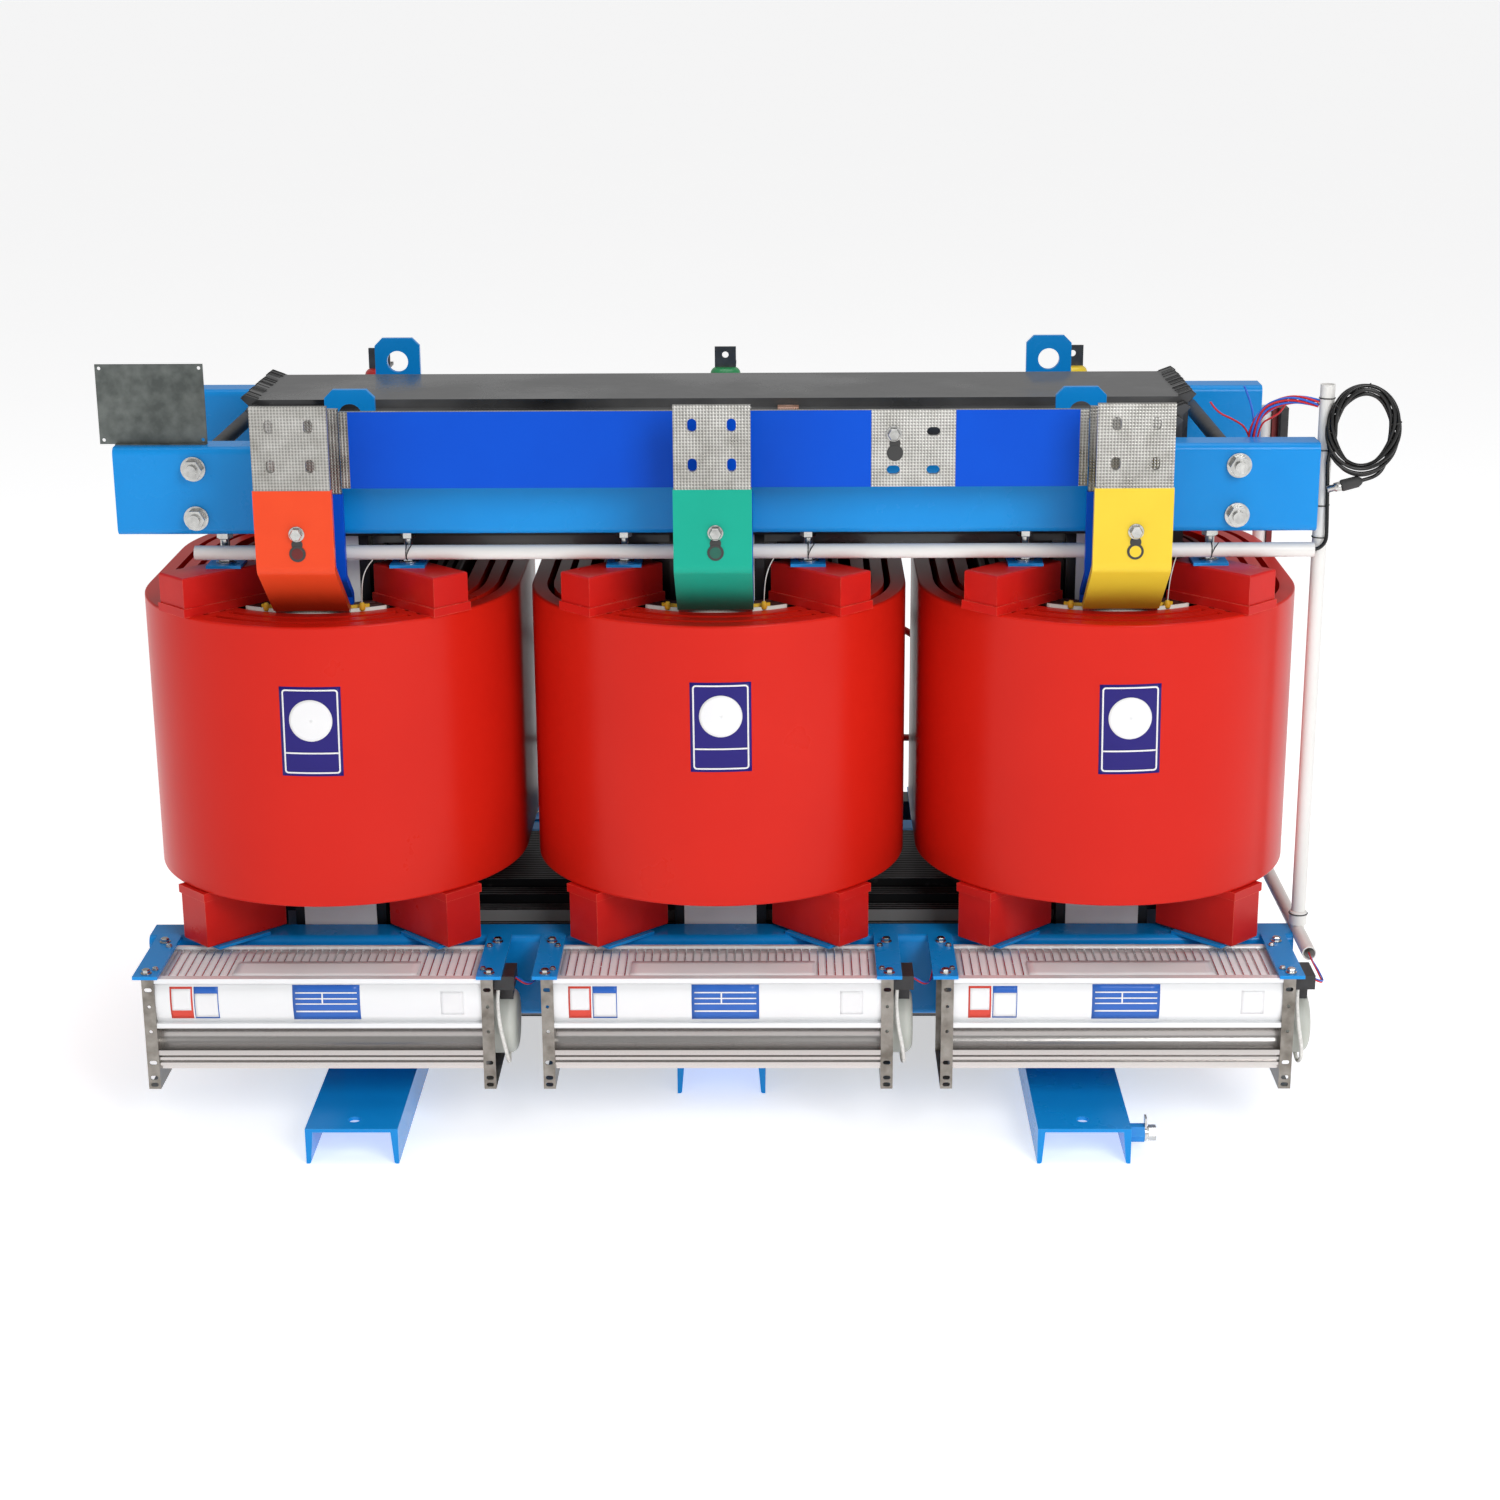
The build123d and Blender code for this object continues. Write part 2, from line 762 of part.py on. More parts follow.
# High-voltage post insulators, turned with three grooves and a round crown
insulator_top = insulator_base + insulator_height
crown_z = insulator_top - crown_radius
crown_x = insulator_radius - crown_radius
with BuildPart() as insulator:
    with BuildSketch(Plane.XZ):
        with BuildLine():
            Polyline(
                (0, insulator_base),
                (insulator_waist, insulator_base),
                (insulator_radius, insulator_base + insulator_height / 2),
                (insulator_radius, crown_z),
            )
            RadiusArc((insulator_radius, crown_z), (crown_x, insulator_top), -crown_radius)
            Polyline((crown_x, insulator_top), (0, insulator_top), (0, insulator_base))
        make_face()
        with Locations(*[(insulator_radius, insulator_base + groove_pitch * row) for row in (1, 2, 3)]):
            Circle(groove_radius, mode=Mode.SUBTRACT)
    revolve(axis=Axis.Z)
for x, name in zip(coil_places, names):
    with BuildPart() as placed_insulator:
        with Locations((x, hv_terminal_y, 0)):
            add(insulator.part)
    save(placed_insulator.part, "hv_insulator_" + name)

# Terminal tabs folded over the insulators
tab_face = hv_terminal_y - tab_thickness / 2
with BuildPart() as hv_tab:
    with BuildSketch(front_plane(hv_terminal_y)):
        with Locations((0, insulator_top + tab_height / 2)):
            Rectangle(tab_width, tab_height)
        with Locations((0, insulator_top + tab_height - tab_hole_drop)):
            Circle(tab_hole / 2, mode=Mode.SUBTRACT)
    extrude(amount=tab_thickness / 2, both=True)
    with Locations((0, tab_face + tab_foot_reach / 2, insulator_top + tab_thickness / 2)):
        Box(tab_width, tab_foot_reach, tab_thickness)
with BuildPart() as hv_tabs:
    with Locations(*[(x, 0, 0) for x in coil_places]):
        add(hv_tab.part)
save(hv_tabs.part, "hv_tabs")

# Brass terminals and tap studs on the backs of the coils
link_y = pad_face + terminal_length / 2
tap_spots = [
    (x + sx * tap_spacing_x / 2, pad_face + tap_length / 2, coil_middle + row * tap_spacing_z)
    for x in coil_places
    for sx in (-1, 1)
    for row in (-1, 0, 1)
]
with BuildPart() as tap_terminals:
    with Locations(*[(x, link_y, z) for x in coil_places for z in boss_heights]):
        Cylinder(terminal_diameter / 2, terminal_length, rotation=(90, 0, 0))
    with Locations(*tap_spots):
        Cylinder(tap_diameter / 2, tap_length, rotation=(90, 0, 0))
save(tap_terminals.part, "tap_terminals")

# Sleeved links that join the coils in delta, and leads up to the terminal tabs
low_z, high_z = boss_heights
lead_y = tab_face + tab_foot_reach - link_diameter / 2
detour_x = coil_pitch + link_offset
detour_z = low_z - link_drop
link_routes = [
    ((-coil_pitch, link_y, high_z), (0, link_y, low_z)),
    ((0, link_y, high_z), (coil_pitch, link_y, low_z)),
    (
        (coil_pitch, link_y, high_z),
        (detour_x, link_y, high_z - link_drop),
        (detour_x, link_y, detour_z),
        (link_offset - coil_pitch, link_y, detour_z),
        (-coil_pitch, link_y, low_z),
    ),
]
for x in coil_places:
    link_routes.append(((x, link_y, high_z), (x, lead_y, coil_top + boss_inset), (x, lead_y, insulator_top)))
with BuildPart() as hv_links:
    for route in link_routes:
        with BuildLine() as line:
            if len(route) == 2:
                Line(*route)
            else:
                FilletPolyline(*route, radius=link_bend)
        path = line.wire()
        with BuildSketch(Plane(origin=path @ 0, z_dir=path % 0)):
            Circle(link_diameter / 2)
        sweep(path=path)
    with Locations(*[(x, link_y, z) for x in coil_places for z in boss_heights]):
        Cylinder(terminal_diameter / 2, 2 * terminal_length, rotation=(90, 0, 0), mode=Mode.SUBTRACT)
save(hv_links.part, "hv_links")

# Fans: one is drawn at the middle of the front, then three stand along each side
half_turns = [Location((0, 0, 0), (0, 0, turn)) for turn in (0, 180)]
fan_places = [turned * Location((x, 0, 0)) for turned in half_turns for x in coil_places]
fan_half = coil_pitch / 2 - fan_spacing
fan_back = -(clamp_outer + fan_gap)
fan_front = fan_back - fan_depth
fan_top = lower_clamp_top - fan_drop
fan_mid_y = (fan_back + fan_front) / 2
fan_mid_z = fan_top - fan_height / 2
flange_x = fan_half - fan_end_depth / 2
housing_half = fan_half - fan_end_depth
with BuildPart() as end_plates:
    for s in (-1, 1):
        with Locations((s * flange_x, fan_mid_y, fan_mid_z)):
            Box(fan_end_depth, fan_depth, fan_height)
        with Locations((s * (flange_x + fan_sheet), fan_mid_y, fan_mid_z)):
            Box(fan_end_depth, fan_depth - 2 * fan_sheet, fan_height - 2 * fan_sheet, mode=Mode.SUBTRACT)
    with BuildSketch(front_plane(fan_front)):
        with Locations(*[(s * flange_x, fan_top - drop) for s in (-1, 1) for drop in flange_slot_drops]):
            SlotOverall(flange_slot_length, flange_slot_width)
        with Locations(*[(s * flange_x, fan_top - drop) for s in (-1, 1) for drop in flange_hole_drops]):
            Circle(flange_hole / 2)
    extrude(amount=-2 * fan_sheet, mode=Mode.SUBTRACT)
with BuildPart() as fan_end_plates:
    with Locations(*fan_places):
        add(end_plates.part)
save(fan_end_plates.part, "fan_end_plates")

# The drawn housing: lip, bulged panel, bead, scooped panel, bead and two ribs at the front
face_y = fan_front + front_set_back
lip_y = fan_front + fan_sheet
lip_z = fan_top - lip_drop
panel_z = lip_z - panel_height
scoop_top = panel_z - bead_height
scoop_z = scoop_top - scoop_height
rib_top = scoop_z - bead_height
rim_back = fan_back - fan_sheet
tray_z = fan_top - tray_depth
tray_front = face_y + tray_rim / 2
tray_back = rim_back - tray_rim / 2
lower_front = [(face_y, scoop_z)]
for high, low, reach in (
    (scoop_z, rib_top, bead_reach),
    (rib_top - rib_height, rib_top - 2 * rib_height, rib_reach),
    (rib_top - 3 * rib_height, rib_top - 4 * rib_height, rib_reach),
):
    lower_front += [(face_y, high), (face_y - reach, high), (face_y - reach, low), (face_y, low)]
lower_front += [(face_y, fan_top - housing_height), (rim_back, fan_top - housing_height)]
with BuildPart() as housing:
    with BuildSketch(side_plane(-housing_half)):
        with BuildLine():
            Polyline(
                (rim_back, fan_top - housing_height),
                (rim_back, fan_top),
                (tray_back, fan_top),
                (tray_back, tray_z),
                (tray_front, tray_z),
                (tray_front, fan_top),
                (lip_y, fan_top),
                (lip_y, lip_z),
                (face_y - fan_sheet, lip_z),
            )
            ThreePointArc(
                (face_y - fan_sheet, lip_z),
                (face_y - panel_bulge, (lip_z + panel_z) / 2),
                (face_y, panel_z),
            )
            Polyline(
                (face_y, panel_z),
                (face_y - bead_reach, panel_z),
                (face_y - bead_reach, scoop_top),
                (face_y, scoop_top),
            )
            ThreePointArc(
                (face_y, scoop_top),
                (face_y + scoop_depth, (scoop_top + scoop_z) / 2),
                (face_y, scoop_z),
            )
            Polyline(*lower_front[1:])
        make_face()
    extrude(amount=2 * housing_half)
with BuildPart() as fan_housings:
    with Locations(*fan_places):
        add(housing.part)
save(fan_housings.part, "fan_housings")

# Wire guards in the trays on top of the housings
guard_front = tray_front + guard_bar / 2
guard_back = tray_back - guard_bar / 2
guard_count = int(2 * housing_half / guard_pitch) - 1
with BuildPart() as guard:
    with Locations(*[(0, y, tray_z + guard_bar / 2) for y in (guard_front, guard_back)]):
        Box(2 * housing_half, guard_bar, guard_bar)
    with Locations((0, (guard_front + guard_back) / 2, tray_z + guard_bar - guard_wire / 2)):
        with GridLocations(guard_pitch, guard_pitch, guard_count, 1):
            Cylinder(guard_wire / 2, guard_back - guard_front, rotation=(90, 0, 0))
with BuildPart() as fan_guards:
    with Locations(*fan_places):
        add(guard.part)
save(fan_guards.part, "fan_guards")

# Outline of the front lower clamp, which the arms and wires end on
with BuildPart() as clamp_outline:
    with BuildSketch(side_plane(0)):
        with Locations((-clamp_mid, lower_clamp_top - clamp_height / 2)):
            RectangleRounded(clamp_depth, clamp_height, clamp_corner)
    extrude(amount=clamp_half_length, both=True)

# Arms that hang the fans from the lower clamps
arm_root_y = arm_root - clamp_outer
arm_front = fan_front - arm_reach
arm_z = fan_top + arm_thickness / 2
with BuildPart() as arms:
    with Locations(*[(s * arm_offset, (arm_front + arm_root_y) / 2, arm_z) for s in (-1, 1)]):
        Box(arm_width, arm_root_y - arm_front, arm_thickness)
    fillet(arms.edges().filter_by(Axis.Z).group_by(Axis.Y)[-1], arm_corner)
    add(clamp_outline.part, mode=Mode.SUBTRACT)
with BuildPart() as fan_arms:
    with Locations(*fan_places):
        add(arms.part)
save(fan_arms.part, "fan_arms")

# Domed motors outside the right end plates, with a terminal box on each
motor_start = housing_half + fan_sheet
motor_end = fan_half + motor_reach
motor_y = fan_front + motor_inset
motor_z = fan_top - motor_drop
motor_at = ((motor_start + motor_end) / 2, motor_y, motor_z)
with BuildPart() as motor:
    with Locations(motor_at):
        Cylinder(motor_radius, motor_end - motor_start, rotation=(0, 90, 0))
    fillet(motor.edges().group_by(Axis.X)[-1], motor_dome)
with BuildPart() as fan_motors:
    with Locations(*fan_places):
        add(motor.part)
save(fan_motors.part, "fan_motors")

box_x = (fan_half + motor_end) / 2
box_y = fan_front + box_inset
box_bottom = fan_top - box_height
neck_height = box_bottom - motor_z
with BuildPart() as motor_box:
    with Locations((box_x, box_y, box_bottom + box_height / 2)):
        Box(motor_reach, box_depth, box_height)
    with Locations((box_x, (box_y + motor_y) / 2, box_bottom - neck_height / 2)):
        Box(box_neck, box_neck, neck_height)
    with Locations(motor_at):
        Cylinder(motor_radius, 2 * motor_end, rotation=(0, 90, 0), mode=Mode.SUBTRACT)
with BuildPart() as motor_boxes:
    with Locations(*fan_places):
        add(motor_box.part)
save(motor_boxes.part, "motor_boxes")

# White sleeved lead from each box down to the underside of its motor
lead_points = from_points((motor_end, box_y, box_bottom), ((-28, -23, 6), (-30, -32, -25)))
lead_points += from_points(
    (motor_end, motor_y, motor_z),
    ((-26, -69, 17), (-18, -66, -24), (-15, -50, -54), (-16, -26, -68), (-18, -5, -55)),
)
with BuildPart() as motor_lead:
    add(tube(lead_points, motor_lead_diameter))
    add(motor_box.part, mode=Mode.SUBTRACT)
    with Locations(motor_at):
        Cylinder(motor_radius, 2 * motor_end, rotation=(0, 90, 0), mode=Mode.SUBTRACT)
with BuildPart() as motor_leads:
    with Locations(*fan_places):
        add(motor_lead.part)
save(motor_leads.part, "motor_leads")

# Conduits of white plastic pipe
conduit_radius = conduit_diameter / 2
conduit_y = -(clamp_mid + stud_diameter / 2 + conduit_gap + conduit_radius)
conduit_z = stud_base + conduit_rise
conduit_left = conduit_left_inset - clamp_half_length
upright_x = clamp_half_length + conduit_gap + conduit_radius
with BuildPart() as sensor_conduit:
    with BuildSketch(side_plane(conduit_left)):
        with Locations((conduit_y, conduit_z)):
            Circle(conduit_radius)
            Circle(conduit_radius - conduit_wall, mode=Mode.SUBTRACT)
    extrude(amount=clamp_half_length - conduit_left)
save(sensor_conduit.part, "sensor_conduit")

# Tees at the feet of the two uprights, the front one open towards the front
tee_z = lower_clamp_top - tee_drop
tee_front = clamp_outer + tee_reach
tee_back = clamp_inner + tee_inset
socket_bottom = tee_z + conduit_radius
socket_top = socket_bottom + socket_length
upright_foot = socket_bottom + conduit_wall
with BuildPart() as conduit_tees:
    for side, far in ((-1, tee_front), (1, clamp_outer)):
        with BuildSketch(front_plane(side * tee_back)):
            with Locations((upright_x, tee_z)):
                Circle(conduit_radius)
        extrude(amount=-side * (far - tee_back))
        with Locations((upright_x, side * clamp_mid, (tee_z + socket_top) / 2)):
            Cylinder(conduit_radius, socket_top - tee_z)
        with Locations((upright_x, side * clamp_mid, (socket_bottom + socket_top) / 2)):
            Cylinder(conduit_radius + socket_wall, socket_length)
    fillet(conduit_tees.edges().group_by(Axis.Z)[-1], conduit_wall)
    with Locations((upright_x, -tee_front, tee_z)):
        Cylinder(conduit_radius - conduit_wall, 2 * tee_back, rotation=(90, 0, 0), mode=Mode.SUBTRACT)
    with Locations(*[(upright_x, side * clamp_mid, socket_top) for side in (-1, 1)]):
        Cylinder(conduit_radius, 2 * (socket_top - upright_foot), mode=Mode.SUBTRACT)
save(conduit_tees.part, "conduit_tees")

with BuildPart() as side_conduit:
    with BuildSketch(front_plane(tee_back)):
        with Locations((upright_x, tee_z)):
            Circle(conduit_radius)
            Circle(conduit_radius - conduit_wall, mode=Mode.SUBTRACT)
    extrude(amount=2 * tee_back)
save(side_conduit.part, "side_conduit")

upright_top = upper_clamp_top + upright_top_rise
rear_upright_top = upper_clamp_top - rear_upright_drop
with BuildPart() as upright_conduits:
    for side, top in ((-1, upright_top), (1, rear_upright_top)):
        with BuildSketch(Plane.XY.offset(upright_foot)):
            with Locations((upright_x, side * clamp_mid)):
                Circle(conduit_radius)
                Circle(conduit_radius - conduit_wall, mode=Mode.SUBTRACT)
        extrude(amount=top - upright_foot)
save(upright_conduits.part, "upright_conduits")

# Sleeved rail and dark box beside the rear upright
rail_x = upright_x + conduit_radius + conduit_gap + rail_width / 2
with BuildPart() as rear_rail:
    with Locations((rail_x, clamp_mid, rear_upright_top - rail_length / 2)):
        Box(rail_width, rail_depth, rail_length)
save(rear_rail.part, "rear_rail")

rear_box_x = rail_x + (rail_width + rear_box_width) / 2
with BuildPart() as rear_box:
    with Locations((rear_box_x, clamp_mid, rear_upright_top - rear_box_height / 2)):
        Box(rear_box_width, rear_box_depth, rear_box_height)
    fillet(rear_box.edges().filter_by(Axis.Z), rim_radius)
save(rear_box.part, "rear_box")

# Wires from the boxes to the clamps, and from the right box into the front tee
box_steps = ((-5, 2, 14), (8, -4, 7), (20, -3, 0), (31, 10, -2))
clamp_steps = ((37, -114, -19), (39, -80, -12), (38, -40, -9), (38, 4, -9))
wire_points = from_points((motor_end, box_y, box_bottom), box_steps)
wire_points += from_points((motor_end, -clamp_outer, fan_top), clamp_steps)
right_steps = ((-6, -6, 13), (8, -7, 7), (20, 4, -1), (23, 24, -4))
tee_steps = ((10.2, -26, -20), (3.2, -10, -9), (0.6, 9, -3))
right_points = from_points((coil_pitch + motor_end, box_y, box_bottom), right_steps)
right_points += from_points((upright_x, -tee_front, tee_z), tee_steps)
with BuildPart() as fan_wires:
    with Locations(*[turned * Location((x, 0, 0)) for turned in half_turns for x in coil_places[:2]]):
        add(tube(wire_points, wire_diameter))
    add(tube(right_points, wire_diameter))
    with Locations(*fan_places):
        add(motor_box.part, mode=Mode.SUBTRACT)
    with Locations(*half_turns):
        add(clamp_outline.part, mode=Mode.SUBTRACT)
save(fan_wires.part, "fan_wires")

# Loop of black cable tied in front of the upright
loop_x = upright_x + loop_offset
loop_y = -(clamp_mid + conduit_radius + conduit_gap + loop_thickness / 2)
loop_z = upper_clamp_top + loop_rise
with BuildPart() as loop_disc:
    with BuildSketch(front_plane(loop_y)):
        with Locations((loop_x, loop_z)):
            Ellipse(loop_half_width, loop_half_height)
    extrude(amount=loop_thickness / 2, both=True)
with BuildPart() as cable_coil:
    add(loop_disc.part)
    with BuildSketch(front_plane(loop_y)):
        with Locations((loop_x, loop_z)):
            Ellipse(loop_half_width - loop_thickness, loop_half_height - loop_thickness)
    extrude(amount=loop_thickness / 2, both=True, mode=Mode.SUBTRACT)
    fillet(cable_coil.edges().filter_by(GeomType.ELLIPSE), loop_thickness / 4)
save(cable_coil.part, "cable_coil")

# Its lead, out of the end of the conduit and up along the upright into the loop
cable_steps = (
    (-10, 0, 0),
    (5.4, 0.1, 0.1),
    (14.6, 0.7, 5.4),
    (20, 1.7, 14.8),
    (20.6, 2.9, 31),
    (20.2, 3.9, 58),
    (18.6, 4.3, 96),
    (16.6, 3.5, 134),
    (14.5, -1.5, 170),
)
with BuildPart() as cable_lead:
    add(tube(from_points((clamp_half_length, conduit_y, conduit_z), cable_steps), cable_diameter))
    add(loop_disc.part, mode=Mode.SUBTRACT)
save(cable_lead.part, "cable_lead")

# Its plug, hanging under the loop
plug_z = loop_z - loop_half_height + plug_seat
plug_along = Vector(1, 0, 0).rotate(Axis.Y, -plug_tilt)
plug_plane = Plane(origin=(loop_x, loop_y, plug_z), x_dir=plug_along, z_dir=(0, -1, 0))
with BuildPart() as cable_plug:
    with BuildSketch(plug_plane):
        with Locations((-plug_length / 2, -plug_width / 2)):
            RectangleRounded(plug_length, plug_width, block_fillet)
    extrude(amount=plug_depth / 2, both=True)
    with BuildSketch(plug_plane):
        with Locations((-plug_length - shell_length / 2, -plug_width / 2)):
            Rectangle(shell_length, shell_width)
    extrude(amount=shell_depth / 2, both=True)
    add(loop_disc.part, mode=Mode.SUBTRACT)
save(cable_plug.part, "cable_plug")

# Bundle of thin wires from behind the front clamp over to the upright
bundle_steps = (
    (-116, 43.8, -67),
    (-117, 43.8, -25),
    (-115, 43.8, 15),
    (-97, 38.5, 46),
    (-68, 28.5, 62),
    (-39, 13.5, 67),
    (-11, 0.5, 61),
)
with BuildPart() as wire_bundle:
    add(tube(from_points((upright_x, -clamp_mid, upper_clamp_top), bundle_steps), bundle_diameter))
    with Locations((upright_x, -clamp_mid, upright_top)):
        Cylinder(conduit_radius, 2 * upright_top_rise, mode=Mode.SUBTRACT)
save(wire_bundle.part, "wire_bundle")

# Blank galvanised plate standing on the front clamp, its foot folded forwards
plate_x = plate_width / 2 - clamp_half_length - plate_overhang
plate_z = upper_clamp_top + plate_height / 2
hole_x = plate_width / 2 - plate_hole_inset
hole_z = plate_height / 2 - plate_hole_inset
foot_x = plate_x + plate_overhang / 2
with BuildPart() as blank_plate:
    with BuildSketch(front_plane(-clamp_mid)):
        with Locations((plate_x, plate_z)):
            Rectangle(plate_width, plate_height)
            with Locations(*[(sx * hole_x, sz * hole_z) for sx in (-1, 1) for sz in (-1, 1)]):
                Circle(plate_hole / 2, mode=Mode.SUBTRACT)
    extrude(amount=-plate_sheet)
    with Locations((foot_x, -clamp_mid - plate_foot / 2, upper_clamp_top + plate_sheet / 2)):
        Box(plate_width - plate_overhang, plate_foot, plate_sheet)
save(blank_plate.part, "blank_plate")
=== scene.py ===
"""Looks of the dry-type power transformer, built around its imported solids."""

import math

import bpy
import numpy as np
from bpy.props import FloatProperty
from mathutils import Matrix, Vector


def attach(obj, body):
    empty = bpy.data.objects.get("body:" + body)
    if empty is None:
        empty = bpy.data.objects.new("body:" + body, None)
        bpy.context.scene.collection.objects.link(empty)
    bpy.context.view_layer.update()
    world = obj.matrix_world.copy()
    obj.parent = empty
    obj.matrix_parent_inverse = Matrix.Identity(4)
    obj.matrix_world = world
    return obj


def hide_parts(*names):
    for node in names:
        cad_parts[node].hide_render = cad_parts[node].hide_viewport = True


bl_info = {
    "name": "Power transformer looks",
    "version": (1, 0, 0),
    "blender": (4, 5, 0),
    "location": "View3D > Sidebar > Transformer",
    "description": "Camera, light, materials and small pieces of a dry-type power transformer",
    "category": "Object",
}

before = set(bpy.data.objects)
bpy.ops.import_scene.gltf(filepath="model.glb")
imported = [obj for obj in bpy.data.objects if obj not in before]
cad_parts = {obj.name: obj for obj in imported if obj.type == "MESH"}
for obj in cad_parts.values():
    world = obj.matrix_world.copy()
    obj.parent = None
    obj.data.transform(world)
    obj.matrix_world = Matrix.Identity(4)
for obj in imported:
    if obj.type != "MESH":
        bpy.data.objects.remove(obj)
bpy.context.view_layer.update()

MM = 0.001
PHOTO_PIXELS = 1500
SENSOR = 36.0
WHITE = (1, 1, 1, 1)

SIDES = ("left", "centre", "right")
PHASES = (-0.686, 0.0, 0.686)  # middle of each coil along X
FANS = [(x, side) for side in (1, -1) for x in PHASES]  # side 1 in front, -1 behind
COIL_RADIUS = 0.332
ROUND_Y = 0.135  # the windings' round ends turn about this depth
COIL_TOP = 0.919
YOKES = (("top", 1.110, 1), ("bottom", 0.220, -1))  # middle height and outward direction
PACKETS = ((0.0, 0.137, 0.135), (0.137, 0.180, 0.120), (0.180, 0.215, 0.103), (0.215, 0.250, 0.082))
SLEEVE_FACE = -0.5005  # front of the phase bars' sleeves
NEUTRAL_FACE = -0.400
STUD_Y = 0.2925
CONDUIT = (-0.3133, 1.012)  # Y and Z of the level conduit
UPRIGHT = (1.0308, -0.2925)  # X and Y of the front upright conduit
ARM_TOP = 0.318
GUARD_TOP = 0.3047
PANEL_FOOT, PANEL_HEIGHT = 0.2295, 0.074


class CameraProps(bpy.types.PropertyGroup):
    """Where the photograph was taken from."""

    x: FloatProperty(name="X", description="Camera position across", default=0.12307, unit="LENGTH")
    y: FloatProperty(name="Y", description="Camera position in depth", default=-4.8287, unit="LENGTH")
    z: FloatProperty(name="Z", description="Camera height", default=2.04477, unit="LENGTH")
    pitch: FloatProperty(
        name="Pitch", description="Tilt down", default=math.radians(17.085), unit="ROTATION")
    yaw: FloatProperty(
        name="Yaw", description="Turn to the right", default=math.radians(-0.8506), unit="ROTATION")
    roll: FloatProperty(
        name="Roll", description="Roll about the view", default=math.radians(-0.3732), unit="ROTATION")
    focal: FloatProperty(name="Focal", description="Focal length in photo pixels", default=2705.77)


class LightProps(bpy.types.PropertyGroup):
    """Soft studio light."""

    key: FloatProperty(name="Key", description="Power of the front softbox", default=150.0, unit="POWER")
    top: FloatProperty(name="Top", description="Power of the overhead softbox", default=85.0, unit="POWER")
    sky: FloatProperty(name="Sky", description="Strength of the even white light", default=0.40)
    glow: FloatProperty(name="Glow", description="Light that the floor gives back by itself", default=0.54)
    floor: FloatProperty(name="Floor", description="Half width of the floor", default=90.0, unit="LENGTH")


class CableProps(bpy.types.PropertyGroup):
    """The black cable tied to the upright conduit."""

    diameter: FloatProperty(name="Diameter", description="Cable diameter", default=0.0065, unit="LENGTH")
    length: FloatProperty(name="Length", description="Cable length", default=2.48, unit="LENGTH")
    turns: FloatProperty(name="Turns", description="Turns in the loop", default=5.0)
    half_width: FloatProperty(
        name="Half width", description="Half width of the loop", default=0.0545, unit="LENGTH")
    half_height: FloatProperty(
        name="Half height", description="Half height of the loop", default=0.0695, unit="LENGTH")


class SignProps(bpy.types.PropertyGroup):
    """Blank enamel signs on the coils."""

    width: FloatProperty(name="Width", description="Sign width", default=0.104, unit="LENGTH")
    height: FloatProperty(name="Height", description="Sign height", default=0.157, unit="LENGTH")
    disc: FloatProperty(name="Disc", description="Radius of the white disc", default=0.0365, unit="LENGTH")
    line: FloatProperty(
        name="Line", description="Width of the white outline", default=0.0028, unit="LENGTH")


class CombProps(bpy.types.PropertyGroup):
    """Sheet ends at the corners of the yokes."""

    pitch: FloatProperty(
        name="Pitch", description="From one raised sheet end to the next", default=0.0068, unit="LENGTH")
    sheet: FloatProperty(
        name="Sheet", description="Thickness of a raised pack of sheets", default=0.0036, unit="LENGTH")
    spread: FloatProperty(name="Spread", description="How unevenly the ends stand out", default=0.14)


class BoltProps(bpy.types.PropertyGroup):
    """Bolts that the solids leave out."""

    bar_bolt: FloatProperty(
        name="Bar bolt", description="Width across corners", default=0.0215, unit="LENGTH")
    arm_bolt: FloatProperty(
        name="Arm bolt", description="Width across corners", default=0.0150, unit="LENGTH")
    press_nut: FloatProperty(
        name="Press nut", description="Width across corners", default=0.0277, unit="LENGTH")


PROPS = {
    "tr_camera": CameraProps,
    "tr_light": LightProps,
    "tr_cable": CableProps,
    "tr_sign": SignProps,
    "tr_bolt": BoltProps,
    "tr_comb": CombProps,
}


# Shader nodes


def feed(tree, socket, value):
    """Gives an input its value, which is a constant or a socket to link."""
    if isinstance(value, bpy.types.NodeSocket):
        tree.links.new(value, socket)
    else:
        socket.default_value = value


def add_node(tree, kind, values=None, **settings):
    """New shader node with its settings, and a constant or a link for each input in values."""
    node = tree.nodes.new("ShaderNode" + kind)
    for key, value in settings.items():
        setattr(node, key, value)
    for key, value in (values or {}).items():
        feed(tree, node.inputs[key], value)
    return node


def calculate(tree, operation, *terms, clamp=False):
    """Result of a math node whose terms are sockets or numbers."""
    node = add_node(tree, "Math", dict(enumerate(terms)), operation=operation, use_clamp=clamp)
    return node.outputs[0]


def shared_group(name, sockets, build):
    """Node group with a Fac output, built the first time that it is asked for."""
    group = bpy.data.node_groups.get(name)
    if group:
        return group
    group = bpy.data.node_groups.new(name, "ShaderNodeTree")
    for socket in sockets:
        group.interface.new_socket(socket, in_out="INPUT", socket_type="NodeSocketFloat")
    group.interface.new_socket("Fac", in_out="OUTPUT", socket_type="NodeSocketFloat")
    given = group.nodes.new("NodeGroupInput").outputs
    group.links.new(build(group, given), group.nodes.new("NodeGroupOutput").inputs["Fac"])
    return group


